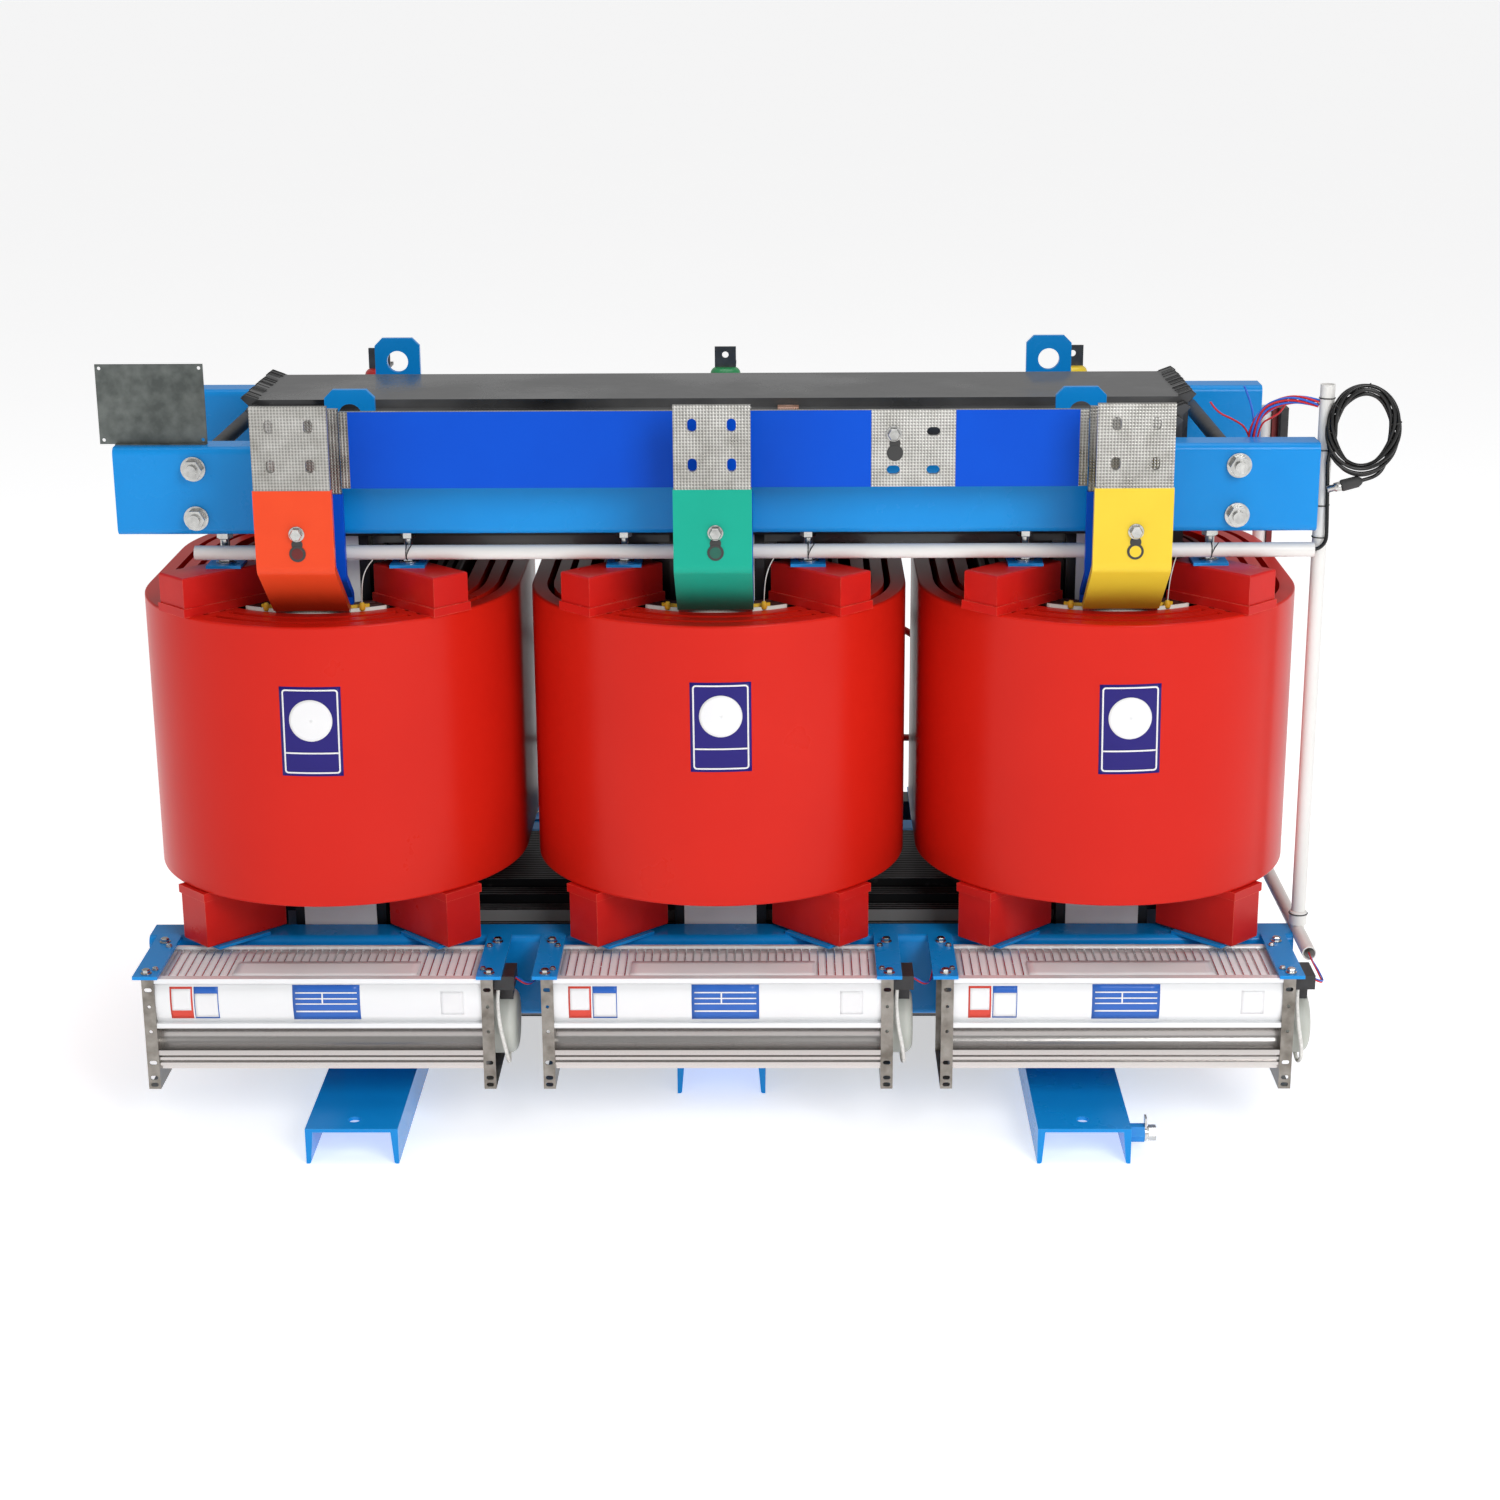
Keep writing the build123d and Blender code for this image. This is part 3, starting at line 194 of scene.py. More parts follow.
def build_speckle(tree, given):
    """Two noises, at one scale and about a quarter of it, mixed to a factor from 0 to 1."""
    coords = add_node(tree, "TexCoord").outputs["Object"]
    quarter = calculate(tree, "MULTIPLY", given["Scale"], 0.23)
    noises = []
    for scale, detail in ((given["Scale"], 6.0), (quarter, 3.0)):
        noise = add_node(tree, "TexNoise", {"Vector": coords, "Scale": scale, "Detail": detail})
        noises.append(noise.outputs["Fac"])
    centred = calculate(tree, "SUBTRACT", calculate(tree, "ADD", *noises), 1.0)
    return calculate(tree, "MULTIPLY_ADD", centred, given["Contrast"], 0.5, clamp=True)


def speckle(tree, scale, contrast):
    """Factor of the shared speckle."""
    group = shared_group("Speckle", ("Scale", "Contrast"), build_speckle)
    node = add_node(tree, "Group", {"Scale": scale, "Contrast": contrast}, node_tree=group)
    return node.outputs["Fac"]


def build_edge_wear_and_painted_highlight(tree, given):
    """Painted edge highlight, broken up by speckle like worn paint: how far a rounded normal leans from the
    true one.
    """
    rounded = add_node(tree, "Bevel", {"Radius": given["Radius"]}, samples=4).outputs["Normal"]
    true = add_node(tree, "NewGeometry").outputs["Normal"]
    lean = add_node(tree, "VectorMath", {0: rounded, 1: true}, operation="DOT_PRODUCT")
    flip = calculate(tree, "SUBTRACT", 1.0, lean.outputs["Value"])
    broken = calculate(tree, "MULTIPLY", flip, speckle(tree, 60.0, 3.0))
    return calculate(tree, "MULTIPLY", broken, given["Amount"], clamp=True)


def edge_wear_and_painted_highlight(tree, radius, amount):
    """Factor of the shared painted edge highlight with worn edges."""
    group = shared_group("EdgeWearAndPaintedHighlight", ("Radius", "Amount"), build_edge_wear_and_painted_highlight)
    node = add_node(tree, "Group", {"Radius": radius, "Amount": amount}, node_tree=group)
    return node.outputs["Fac"]


def height_ramp(tree, low, high, foot, top=1.0):
    """Value that runs from foot to top between two heights."""
    place = add_node(tree, "SeparateXYZ", {"Vector": add_node(tree, "TexCoord").outputs["Object"]})
    ramp = add_node(tree, "MapRange", {"Value": place.outputs["Z"], "From Min": low, "From Max": high,
                                       "To Min": foot, "To Max": top})
    return ramp.outputs["Result"]


def blend_colour(mat, other, blend="MULTIPLY", factor=1.0):
    """Blends a second colour into the base colour. Both other and factor may be sockets or constants."""
    tree = mat.node_tree
    base = tree.nodes["Principled BSDF"].inputs["Base Color"]
    mix = add_node(tree, "Mix", {"Factor": factor, "A": base.links[0].from_socket, "B": other},
                   data_type="RGBA", blend_type=blend)
    tree.links.new(mix.outputs["Result"], base)


def emboss(mat, height, strength, distance=0.001):
    """Adds the socket height to the relief that the surface has."""
    tree = mat.node_tree
    normal = tree.nodes["Principled BSDF"].inputs["Normal"]
    relief = add_node(tree, "Bump", {"Height": height, "Strength": strength, "Distance": distance})
    if normal.is_linked:
        tree.links.new(normal.links[0].from_socket, relief.inputs["Normal"])
    tree.links.new(relief.outputs["Normal"], normal)


# Materials


def material(name, base, vary, scale, contrast, rough, bump, metallic=0.0, coat=0.0, wear_and_edge_highlight=None,
             pattern=None, gloss=0.4):
    """Principled surface: two colours by speckle, roughness by the same, fine bump, optional worn edges
    with painted edge highlight.
    """
    mat = bpy.data.materials.new(name)
    mat.use_nodes = True
    tree = mat.node_tree
    factor = speckle(tree, scale, contrast)
    ramp = add_node(tree, "ValToRGB", {"Fac": factor})
    for stop, colour in zip(ramp.color_ramp.elements, (base, vary)):
        stop.color = (*colour, 1)
    span = add_node(tree, "MapRange", {"Value": factor, "To Min": rough[0], "To Max": rough[1]})
    for socket, value in (("Base Color", ramp.outputs["Color"]), ("Roughness", span.outputs["Result"]),
                          ("Metallic", metallic), ("Specular IOR Level", gloss), ("Coat Weight", coat),
                          ("Coat Roughness", 0.08)):
        feed(tree, tree.nodes["Principled BSDF"].inputs[socket], value)
    if wear_and_edge_highlight:
        # A lighter tint on convex edges: painted highlight, broken up like worn edges.
        colour, radius, amount = wear_and_edge_highlight
        blend_colour(mat, (*colour, 1), "MIX", edge_wear_and_painted_highlight(tree, radius, amount))
    coords = add_node(tree, "TexCoord").outputs["Object"]
    if pattern:
        coords = add_node(tree, "Mapping", {"Vector": coords, "Scale": pattern}).outputs["Vector"]
    grain = add_node(tree, "TexNoise", {"Vector": coords, "Scale": bump[0], "Detail": 4.0})
    emboss(mat, grain.outputs["Fac"], bump[1])
    return mat


def dimple(mat, pitch, depth):
    """Rows of small dots at one pitch, pressed into a metal face, each darkened in its hollow as painted
    shade.
    """
    tree = mat.node_tree
    dots = add_node(tree, "TexVoronoi", {"Vector": add_node(tree, "TexCoord").outputs["Object"],
                                         "Scale": 1.0 / pitch, "Randomness": 0.0})
    shape = add_node(tree, "MapRange", {"Value": dots.outputs["Distance"], "From Min": 0.25,
                                        "From Max": 0.5}).outputs["Result"]
    emboss(mat, shape, depth, 0.002)
    # Painted shade in the hollow of each dot.
    blend_colour(mat, shape, factor=0.42)


def split_casing(mat):
    """Below the bead the casing is bare brushed metal: colour and metal share change at one height. The
    bare part is tinted brown and darkens upwards to the bead: painted reflection and shade of the scoop.
    """
    tree = mat.node_tree
    bead = (0.2195, 0.2225)
    # Brown tint and a ramp that darkens upwards: painted reflection and shade in the bare scoop.
    bare = add_node(tree, "Mix", {"Factor": 1.0, "A": (1.0, 0.96, 0.93, 1),
                                  "B": height_ramp(tree, 0.140, 0.215, 0.62, 0.34)},
                    data_type="RGBA", blend_type="MULTIPLY")
    blend_colour(mat, bare.outputs["Result"], "MIX", height_ramp(tree, *bead, 1.0, 0.0))
    tree.links.new(height_ramp(tree, *bead, 0.9, 0.25), tree.nodes["Principled BSDF"].inputs["Metallic"])


def paint_foot_shade(mat, low, high, least):
    """Painted shade: a finish darkens towards its foot, from height high down to low."""
    blend_colour(mat, height_ramp(mat.node_tree, low, high, least))


def laminate(mat, pitch, depth, axis="Y", painted_glint=0.0):
    """Fine parallel lines of stacked sheets, across the given axis, the brightest of them lightened by a
    painted highlight of the given strength.
    """
    tree = mat.node_tree
    lines = add_node(tree, "TexWave", {"Vector": add_node(tree, "TexCoord").outputs["Object"],
                                       "Scale": 0.314 / pitch, "Distortion": 0.6, "Detail": 3.0},
                     bands_direction=axis).outputs["Fac"]
    emboss(mat, lines, depth)
    if painted_glint:
        # Painted highlight along the crests of the lines, like sheet edges catching the light.
        edge = add_node(tree, "MapRange", {"Value": lines, "From Min": 0.72, "From Max": 0.95,
                                           "To Max": painted_glint})
        blend_colour(mat, edge.outputs["Result"], "ADD")


# For each finish: base colour, second colour, scale and contrast of the speckle between them,
# roughness span, (scale, strength) of the fine bump, and the rest by name
FINISHES = {
    "blue_paint": ((0.003, 0.235, 0.66), (0.005, 0.28, 0.73), 9, 0.9, (0.2, 0.32), (170, 0.05),
                   {"coat": 0.06, "wear_and_edge_highlight": ((0.10, 0.45, 0.85), 0.0016, 2.0), "gloss": 0.2}),
    "core": ((0.006, 0.006, 0.007), (0.02, 0.02, 0.021), 6, 1.2, (0.26, 0.4), (30, 0.1),
             {"coat": 0.15, "gloss": 0.3}),
    # Bottom yoke: a darker copy of the core finish, painted shade of the yoke between the clamps and under
    # the coils.
    "core_steps_shaded": ((0.003, 0.003, 0.0035), (0.010, 0.010, 0.010), 6, 1.2, (0.3, 0.45), (30, 0.1),
                   {"gloss": 0.15}),
    # Top yoke: its lighter streaks are varnish smears and painted reflection.
    "core_gloss": ((0.006, 0.006, 0.007), (0.10, 0.10, 0.10), 4, 2.6, (0.08, 0.6), (9, 0.35),
                   {"coat": 0.25, "pattern": (0.3, 1.6, 1)}),
    "dark_tab": ((0.05, 0.05, 0.048), (0.10, 0.10, 0.095), 60, 1.2, (0.3, 0.45), (300, 0.05),
                 {"metallic": 0.5}),
    "dark_board": ((0.02, 0.02, 0.02), (0.05, 0.045, 0.04), 25, 1, (0.5, 0.7), (400, 0.1), {}),
    "white_board": ((0.9, 0.9, 0.88), (0.8, 0.8, 0.78), 12, 1, (0.5, 0.65), (300, 0.05), {}),
    "red_resin": ((0.66, 0.017, 0.007), (0.58, 0.012, 0.006), 5, 0.8, (0.24, 0.36), (26, 0.03),
                  {"gloss": 0.16}),
    "block_resin": ((0.64, 0.015, 0.010), (0.52, 0.010, 0.008), 18, 1.2, (0.24, 0.4), (60, 0.10),
                    {"wear_and_edge_highlight": ((0.85, 0.16, 0.10), 0.002, 2.2), "gloss": 0.2}),
    "dark_resin": ((0.03, 0.012, 0.01), (0.09, 0.02, 0.015), 25, 1.2, (0.4, 0.6), (200, 0.1), {}),
    "zinc": ((0.36, 0.36, 0.35), (0.66, 0.66, 0.64), 90, 1.6, (0.14, 0.32), (500, 0.05),
             {"metallic": 1.0, "wear_and_edge_highlight": ((0.9, 0.9, 0.9), 0.0012, 1.6)}),
    "flange": ((0.15, 0.135, 0.115), (0.34, 0.32, 0.29), 55, 1.8, (0.3, 0.5), (240, 0.08),
               {"metallic": 0.8}),
    "black_sleeve": ((0.02, 0.02, 0.021), (0.05, 0.05, 0.05), 60, 1.2, (0.35, 0.55), (260, 0.1), {}),
    "tinned": ((0.34, 0.33, 0.30), (0.60, 0.59, 0.56), 28, 1.8, (0.24, 0.42), (300, 0.08),
               {"metallic": 0.85}),
    "orange": ((0.84, 0.075, 0.018), (0.76, 0.055, 0.013), 12, 0.9, (0.3, 0.42), (90, 0.05),
               {"wear_and_edge_highlight": ((0.9, 0.25, 0.12), 0.002, 1.2), "gloss": 0.2}),
    "green": ((0.005, 0.42, 0.29), (0.004, 0.34, 0.235), 12, 0.9, (0.3, 0.42), (90, 0.05),
              {"wear_and_edge_highlight": ((0.15, 0.6, 0.5), 0.002, 1.2), "gloss": 0.2}),
    "yellow": ((0.84, 0.62, 0.05), (0.76, 0.53, 0.035), 12, 0.9, (0.3, 0.42), (90, 0.05),
               {"wear_and_edge_highlight": ((0.95, 0.82, 0.4), 0.002, 1.0), "gloss": 0.2}),
    "neutral_blue": ((0.001, 0.062, 0.53), (0.001, 0.085, 0.62), 8, 0.9, (0.28, 0.4), (80, 0.04),
                     {"gloss": 0.12}),
    "red_insulator": ((0.55, 0.015, 0.015), (0.42, 0.01, 0.01), 30, 1, (0.2, 0.3), (120, 0.05),
                      {"coat": 0.3}),
    "green_insulator": ((0.02, 0.30, 0.09), (0.015, 0.22, 0.07), 30, 1, (0.2, 0.3), (120, 0.05),
                        {"coat": 0.3}),
    "yellow_insulator": ((0.85, 0.62, 0.03), (0.75, 0.5, 0.02), 30, 1, (0.2, 0.3), (120, 0.05),
                         {"coat": 0.3}),
    "dark_red_sleeve": ((0.22, 0.012, 0.012), (0.15, 0.01, 0.01), 50, 1, (0.35, 0.5), (200, 0.08), {}),
    "brass": ((0.62, 0.40, 0.13), (0.75, 0.52, 0.2), 80, 1.2, (0.25, 0.4), (400, 0.05),
              {"metallic": 1.0}),
    "casing": ((0.78, 0.79, 0.80), (0.84, 0.85, 0.86), 14, 0.8, (0.2, 0.28), (420, 0.004),
               {"metallic": 0.35, "pattern": (0.02, 1, 1)}),
    "guard": ((0.72, 0.72, 0.73), (0.88, 0.88, 0.88), 150, 1.4, (0.15, 0.3), (500, 0.05),
              {"metallic": 1.0}),
    "motor": ((0.48, 0.50, 0.45), (0.56, 0.58, 0.54), 30, 1.2, (0.4, 0.55), (350, 0.15), {}),
    "black_plastic": ((0.012, 0.012, 0.013), (0.04, 0.04, 0.042), 80, 1, (0.3, 0.5), (450, 0.1), {}),
    "pipe": ((0.82, 0.81, 0.79), (0.74, 0.73, 0.7), 10, 0.9, (0.28, 0.4), (60, 0.03), {"coat": 0.1}),
    "galvanised": ((0.075, 0.085, 0.08), (0.155, 0.17, 0.16), 45, 2.4, (0.32, 0.5), (120, 0.1),
                   {"metallic": 0.55}),
    "cable": ((0.003, 0.003, 0.003), (0.008, 0.008, 0.008), 90, 1, (0.22, 0.34), (600, 0.05), {}),
    "woven_white": ((0.82, 0.81, 0.78), (0.62, 0.61, 0.58), 700, 2, (0.6, 0.8), (900, 0.5), {}),
    "wire_red": ((0.72, 0.025, 0.03), (0.60, 0.015, 0.02), 60, 1, (0.3, 0.42), (400, 0.05), {}),
    "wire_blue": ((0.04, 0.17, 0.72), (0.03, 0.12, 0.60), 60, 1, (0.3, 0.42), (400, 0.05), {}),
    "sign_blue": ((0.012, 0.006, 0.15), (0.016, 0.009, 0.18), 25, 0.8, (0.25, 0.35), (200, 0.03),
                  {"gloss": 0.25}),
    "tag_red": ((0.10, 0.008, 0.008), (0.16, 0.012, 0.01), 60, 1, (0.3, 0.4), (200, 0.05), {}),
    "tag_green": ((0.008, 0.09, 0.06), (0.012, 0.13, 0.09), 60, 1, (0.3, 0.4), (200, 0.05), {}),
    "sign_white": ((0.86, 0.86, 0.86), (0.78, 0.78, 0.8), 30, 0.8, (0.3, 0.4), (200, 0.03),
                   {"coat": 0.1}),
    "label_blue": ((0.012, 0.10, 0.46), (0.016, 0.13, 0.52), 30, 0.8, (0.3, 0.4), (200, 0.03),
                   {"coat": 0.2}),
    "label_red": ((0.72, 0.06, 0.035), (0.62, 0.05, 0.03), 30, 0.8, (0.3, 0.4), (200, 0.03), {}),
    "strip_yellow": ((0.80, 0.50, 0.02), (0.68, 0.38, 0.02), 40, 1.2, (0.4, 0.6), (200, 0.1), {}),
    "strip_white": ((0.8, 0.79, 0.74), (0.66, 0.64, 0.58), 40, 1.2, (0.5, 0.7), (200, 0.1), {}),
    "paper": ((0.92, 0.94, 0.95), (0.80, 0.82, 0.84), 14, 1.6, (0.45, 0.65), (60, 0.3), {}),
    "copper": ((0.55, 0.25, 0.14), (0.75, 0.5, 0.4), 60, 2, (0.3, 0.5), (200, 0.1),
               {"metallic": 0.8}),
}


def make_materials():
    """Every finish of the transformer by name."""
    mats = {name: material(name, *row, **rest) for name, (*row, rest) in FINISHES.items()}
    # Painted highlight lines on the core's sheet edges, strongest on the bottom yoke.
    laminate(mats["core"], 0.005, 0.3, painted_glint=0.05)
    laminate(mats["core_steps_shaded"], 0.010, 0.7, painted_glint=0.20)
    laminate(mats["core_gloss"], 0.006, 0.12, painted_glint=0.03)
    laminate(mats["dark_resin"], 0.003, 0.3, "Z")
    laminate(mats["copper"], 0.004, 0.5, "X")
    dimple(mats["tinned"], 0.0052, 0.35)
    # Painted shade on the sleeves' lower slopes, which face down.
    for name, least in (("orange", 0.42), ("green", 0.42), ("yellow", 0.62)):
        paint_foot_shade(mats[name], 0.94, 1.03, least)
    split_casing(mats["casing"])
    return mats


# Starts of the names of the solids that each finish goes on
NODE_FINISH = {
    "blue_paint": ("base_channel", "lower_clamp", "upper_clamp", "lifting_lugs", "clamp_feet",
                   "block_plates", "fan_arms"),
    "core": ("core_limbs",),
    "core_steps_shaded": ("core_bottom_yoke",),
    "core_gloss": ("core_top_yoke",),
    "dark_tab": ("hv_tabs",),
    "dark_board": ("clamp_boards", "yoke_pads"),
    "white_board": ("limb_boards",),
    "red_resin": ("hv_coil",),
    "block_resin": ("upper_press_blocks", "lower_support_blocks"),
    "dark_resin": ("lv_coils",),
    "zinc": ("press_studs", "tie_rods", "earth_terminal"),
    "tinned": ("lv_bars", "neutral_bar", "neutral_risers"),
    "flange": ("fan_end_plates",),
    "black_sleeve": ("rod_sleeves",),
    "orange": ("lv_sleeve_left",),
    "green": ("lv_sleeve_centre",),
    "yellow": ("lv_sleeve_right",),
    "neutral_blue": ("riser_sleeves", "neutral_sleeves"),
    "red_insulator": ("hv_insulator_left",),
    "green_insulator": ("hv_insulator_centre",),
    "yellow_insulator": ("hv_insulator_right",),
    "dark_red_sleeve": ("hv_links", "rear_rail"),
    "brass": ("tap_terminals",),
    "casing": ("fan_housings",),
    "guard": ("fan_guards",),
    "motor": ("fan_motors",),
    "black_plastic": ("motor_boxes", "rear_box", "cable_plug"),
    "pipe": ("sensor_conduit", "upright_conduits", "side_conduit", "conduit_tees"),
    "galvanised": ("blank_plate",),
    "cable": ("cable_coil", "cable_lead"),
    "woven_white": ("motor_leads",),
    "wire_red": ("wire_bundle", "fan_wires"),
}


# Geometry


def grid_faces(rows, columns, close_rows=False, close_columns=False):
    """Quads of a rows by columns lattice of points, wrapped round in either direction."""
    r = np.arange(rows if close_rows else rows - 1)
    c = np.arange(columns if close_columns else columns - 1)
    r, c = np.meshgrid(r, c, indexing="ij")
    r2, c2 = (r + 1) % rows, (c + 1) % columns
    quads = np.stack([r * columns + c, r2 * columns + c, r2 * columns + c2, r * columns + c2], axis=-1)
    return quads.reshape(-1, 4)


def circle(count):
    """Points (cos a, sin a) at count even steps of the angle a."""
    angle = np.arange(count) * 2 * np.pi / count
    return np.stack([np.cos(angle), np.sin(angle)], axis=-1)


def unit(vectors):
    """Vectors of length one."""
    return vectors / np.linalg.norm(vectors, axis=1, keepdims=True)


def merge(shapes):
    """Several shapes, each of points and faces, as one."""
    points, faces, shift = [], [], 0
    for some, quads in shapes:
        points.append(np.asarray(some).reshape(-1, 3))
        faces += [[i + shift for i in face] for face in quads]
        shift += len(points[-1])
    return np.concatenate(points), faces


def new_object(name, data):
    """Object of the data, linked to the scene."""
    made = bpy.data.objects.new(name, data)
    bpy.context.scene.collection.objects.link(made)
    return made


def add_mesh(name, shapes, finish, smooth=False, thickness=0.0):
    """New piece of one or more shapes, riding on the body."""
    points, faces = merge(shapes)
    mesh = bpy.data.meshes.new(name)
    mesh.from_pydata(points.astype(float).tolist(), [], [list(map(int, face)) for face in faces])
    mesh.update()
    mesh.polygons.foreach_set("use_smooth", np.full(len(mesh.polygons), smooth))
    mesh.materials.append(bpy.data.materials[finish])
    piece = new_object(name, mesh)
    if thickness:
        solid = piece.modifiers.new("Thickness", "SOLIDIFY")
        solid.thickness = thickness
        solid.offset = 1.0
    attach(piece, "root")
    return piece


def lathe(profile, sides):
    """Profile of (radius, height) pairs turned about Z: x = r cos a, y = r sin a, with end caps."""
    profile = np.asarray(profile, float)
    xy = profile[:, None, :1] * circle(sides)[None]
    z = np.broadcast_to(profile[:, None, 1:], (len(profile), sides, 1))
    points = np.concatenate([xy, z], axis=-1).reshape(-1, 3)
    faces = grid_faces(len(profile), sides, close_columns=True)[:, ::-1].tolist()
    faces.append(list(range(sides))[::-1])
    faces.append(list(range((len(profile) - 1) * sides, len(profile) * sides)))
    return points, faces


FACING = {
    "up": np.eye(3),
    "front": np.array([[1, 0, 0], [0, 0, -1], [0, 1, 0]], float),
}


def copies(shape, facing, places):
    """One shape turned to face a way and set down at each place."""
    points, faces = shape
    turned = np.asarray(points) @ FACING[facing].T
    return merge([(turned + place, faces) for place in np.asarray(places, float)])


def hex_bolt(corner, washer, head):
    """Chamfered hexagon head on a round washer: both are turned profiles, of 6 and of 32 sides."""
    disc = [(washer - 0.0004, 0), (washer, 0.0004), (washer, 0.0018), (washer - 0.0004, 0.0022)]
    body = [(corner, 0.0022), (corner, head), (corner * 0.86, head + 0.0016)]
    return merge((lathe(disc, 32), lathe(body, 6)))


def box_shape(width, depth, height, bevel):
    """Upright block with chamfered edges, standing on its own middle."""
    x, y = width / 2, depth / 2
    rings = []
    for inset, z in ((bevel, 0), (0, bevel), (0, height - bevel), (bevel, height)):
        a, b = x - inset, y - inset
        rings.append([(a, b - bevel, z), (a - bevel, b, z), (-a + bevel, b, z), (-a, b - bevel, z),
                      (-a, -b + bevel, z), (-a + bevel, -b, z), (a - bevel, -b, z), (a, -b + bevel, z)])
    points = np.array(rings).reshape(-1, 3)
    faces = grid_faces(4, 8, close_columns=True).tolist()
    return points, faces + [list(range(8))[::-1], list(range(24, 32))]


def tube_mesh(path, radius, sides=8, closed=False):
    """Round tube about a path: centre + radius (n cos a + b sin a), n and b across the path."""
    path = np.asarray(path, float)
    if closed:
        tangent = unit(np.roll(path, -1, axis=0) - np.roll(path, 1, axis=0))
    else:
        tangent = unit(np.gradient(path, axis=0))
    up = np.where(np.abs(tangent[:, 2:]) > 0.9, [[1.0, 0, 0]], [[0, 0, 1.0]])
    normal = unit(np.cross(tangent, up))
    binormal = np.cross(tangent, normal)
    turn = circle(sides)
    around = turn[None, :, :1] * normal[:, None] + turn[None, :, 1:] * binormal[:, None]
    points = path[:, None] + radius * around
    faces = grid_faces(len(path), sides, close_rows=closed, close_columns=True).tolist()
    if not closed:
        faces += [list(range(sides)), list(range((len(path) - 1) * sides, len(path) * sides))[::-1]]
    return points.reshape(-1, 3), faces


def spline_curve(name, points, radius, mat):
    """Smooth wire: a NURBS spline of order 3 with the given control points."""
    data = bpy.data.curves.new(name, "CURVE")
    data.dimensions = "3D"
    data.bevel_depth = radius
    data.bevel_resolution = 3
    data.use_fill_caps = True
    data.resolution_u = 6
    spline = data.splines.new("NURBS")
    spline.points.add(len(points) - 1)
    spline.points.foreach_set("co", np.column_stack([points, np.ones(len(points))]).ravel())
    spline.order_u = 3
    spline.use_endpoint_u = True
    data.materials.append(mat)
    wire = new_object(name, data)
    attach(wire, "root")
    return wire


def strands(name, points, count, spread, radius, finishes):
    """Thin wires that wind slowly round one route, every second one in the second finish."""
    path = np.asarray(points, float)
    tangent = unit(np.gradient(path, axis=0))
    side = unit(np.cross(tangent, [[0.35, -0.2, 0.9]]))
    across = np.cross(tangent, side)
    made = []
    for index in range(count):
        turn = index * 2 * np.pi / count + np.arange(len(path)) * 0.7
        line = path + spread * (np.cos(turn)[:, None] * side + np.sin(turn)[:, None] * across)
        finish = finishes[index % len(finishes)]
        made.append(spline_curve("%s_%d" % (name, index + 1), line, radius, finish))
    return made


def coil_patch(centre_x, u, z, lift):
    """Points on a coil's round front: x = cx + R sin(u/R0), y = -Y0 - R cos(u/R0), R = R0 + lift."""
    radius = COIL_RADIUS + lift
    angle = u / COIL_RADIUS
    return np.stack([centre_x + radius * np.sin(angle), -ROUND_Y - radius * np.cos(angle), z], axis=-1)


def panel_point(fan, x, t, lift):
    """Points on a fan's bulged front panel: z = foot + height t, y = -513 - 2 t - 6 sin(pi t) mm - lift."""
    centre, side = fan
    z = PANEL_FOOT + PANEL_HEIGHT * t
    y = -0.5130 - 0.0020 * t - 0.0060 * np.sin(np.pi * t) - lift
    return np.stack([side * (centre + x), side * y, z + 0 * x], axis=-1)


def rectangle(rows, columns, bounds, place):
    """Lattice of points from place(x, y), inside the bounds (x0, x1, y0, y1)."""
    x0, x1, y0, y1 = bounds
    s, t = np.meshgrid(np.linspace(0, 1, columns), np.linspace(0, 1, rows))
    return place(x0 + (x1 - x0) * s, y0 + (y1 - y0) * t), grid_faces(rows, columns)


def ring_patch(outline_outer, outline_inner, place):
    """Band between two outlines of equal count, mapped by place(u, v)."""
    both = np.stack([outline_outer, outline_inner])
    return place(both[..., 0], both[..., 1]), grid_faces(2, both.shape[1], close_columns=True)


def rounded_outline(width, height, radius):
    """Points round a rectangle with round corners, about its middle, dense along top and bottom."""
    angle = np.linspace(0, np.pi / 2, 8)
    corner = np.stack([np.cos(angle), np.sin(angle)], axis=-1) * radius
    a, b = width / 2 - radius, height / 2 - radius
    quarter = corner + [a, b]
    top = np.column_stack([np.linspace(a, -a, 14)[1:-1], np.full(12, height / 2)])
    half = np.concatenate([quarter, top, quarter[::-1] * [-1, 1]])
    return np.concatenate([half, -half])


# Operators


class TRANSFORMER_OT_dress(bpy.types.Operator):
    """Every solid gets its finish."""

    bl_idname = "transformer.dress"
    bl_label = "Finishes of the solids"

    def execute(self, context):
        mats = make_materials()
        for finish, starts in NODE_FINISH.items():
            for name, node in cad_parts.items():
                if name.startswith(starts):
                    node.data.materials.clear()
                    node.data.materials.append(mats[finish])
        return {"FINISHED"}


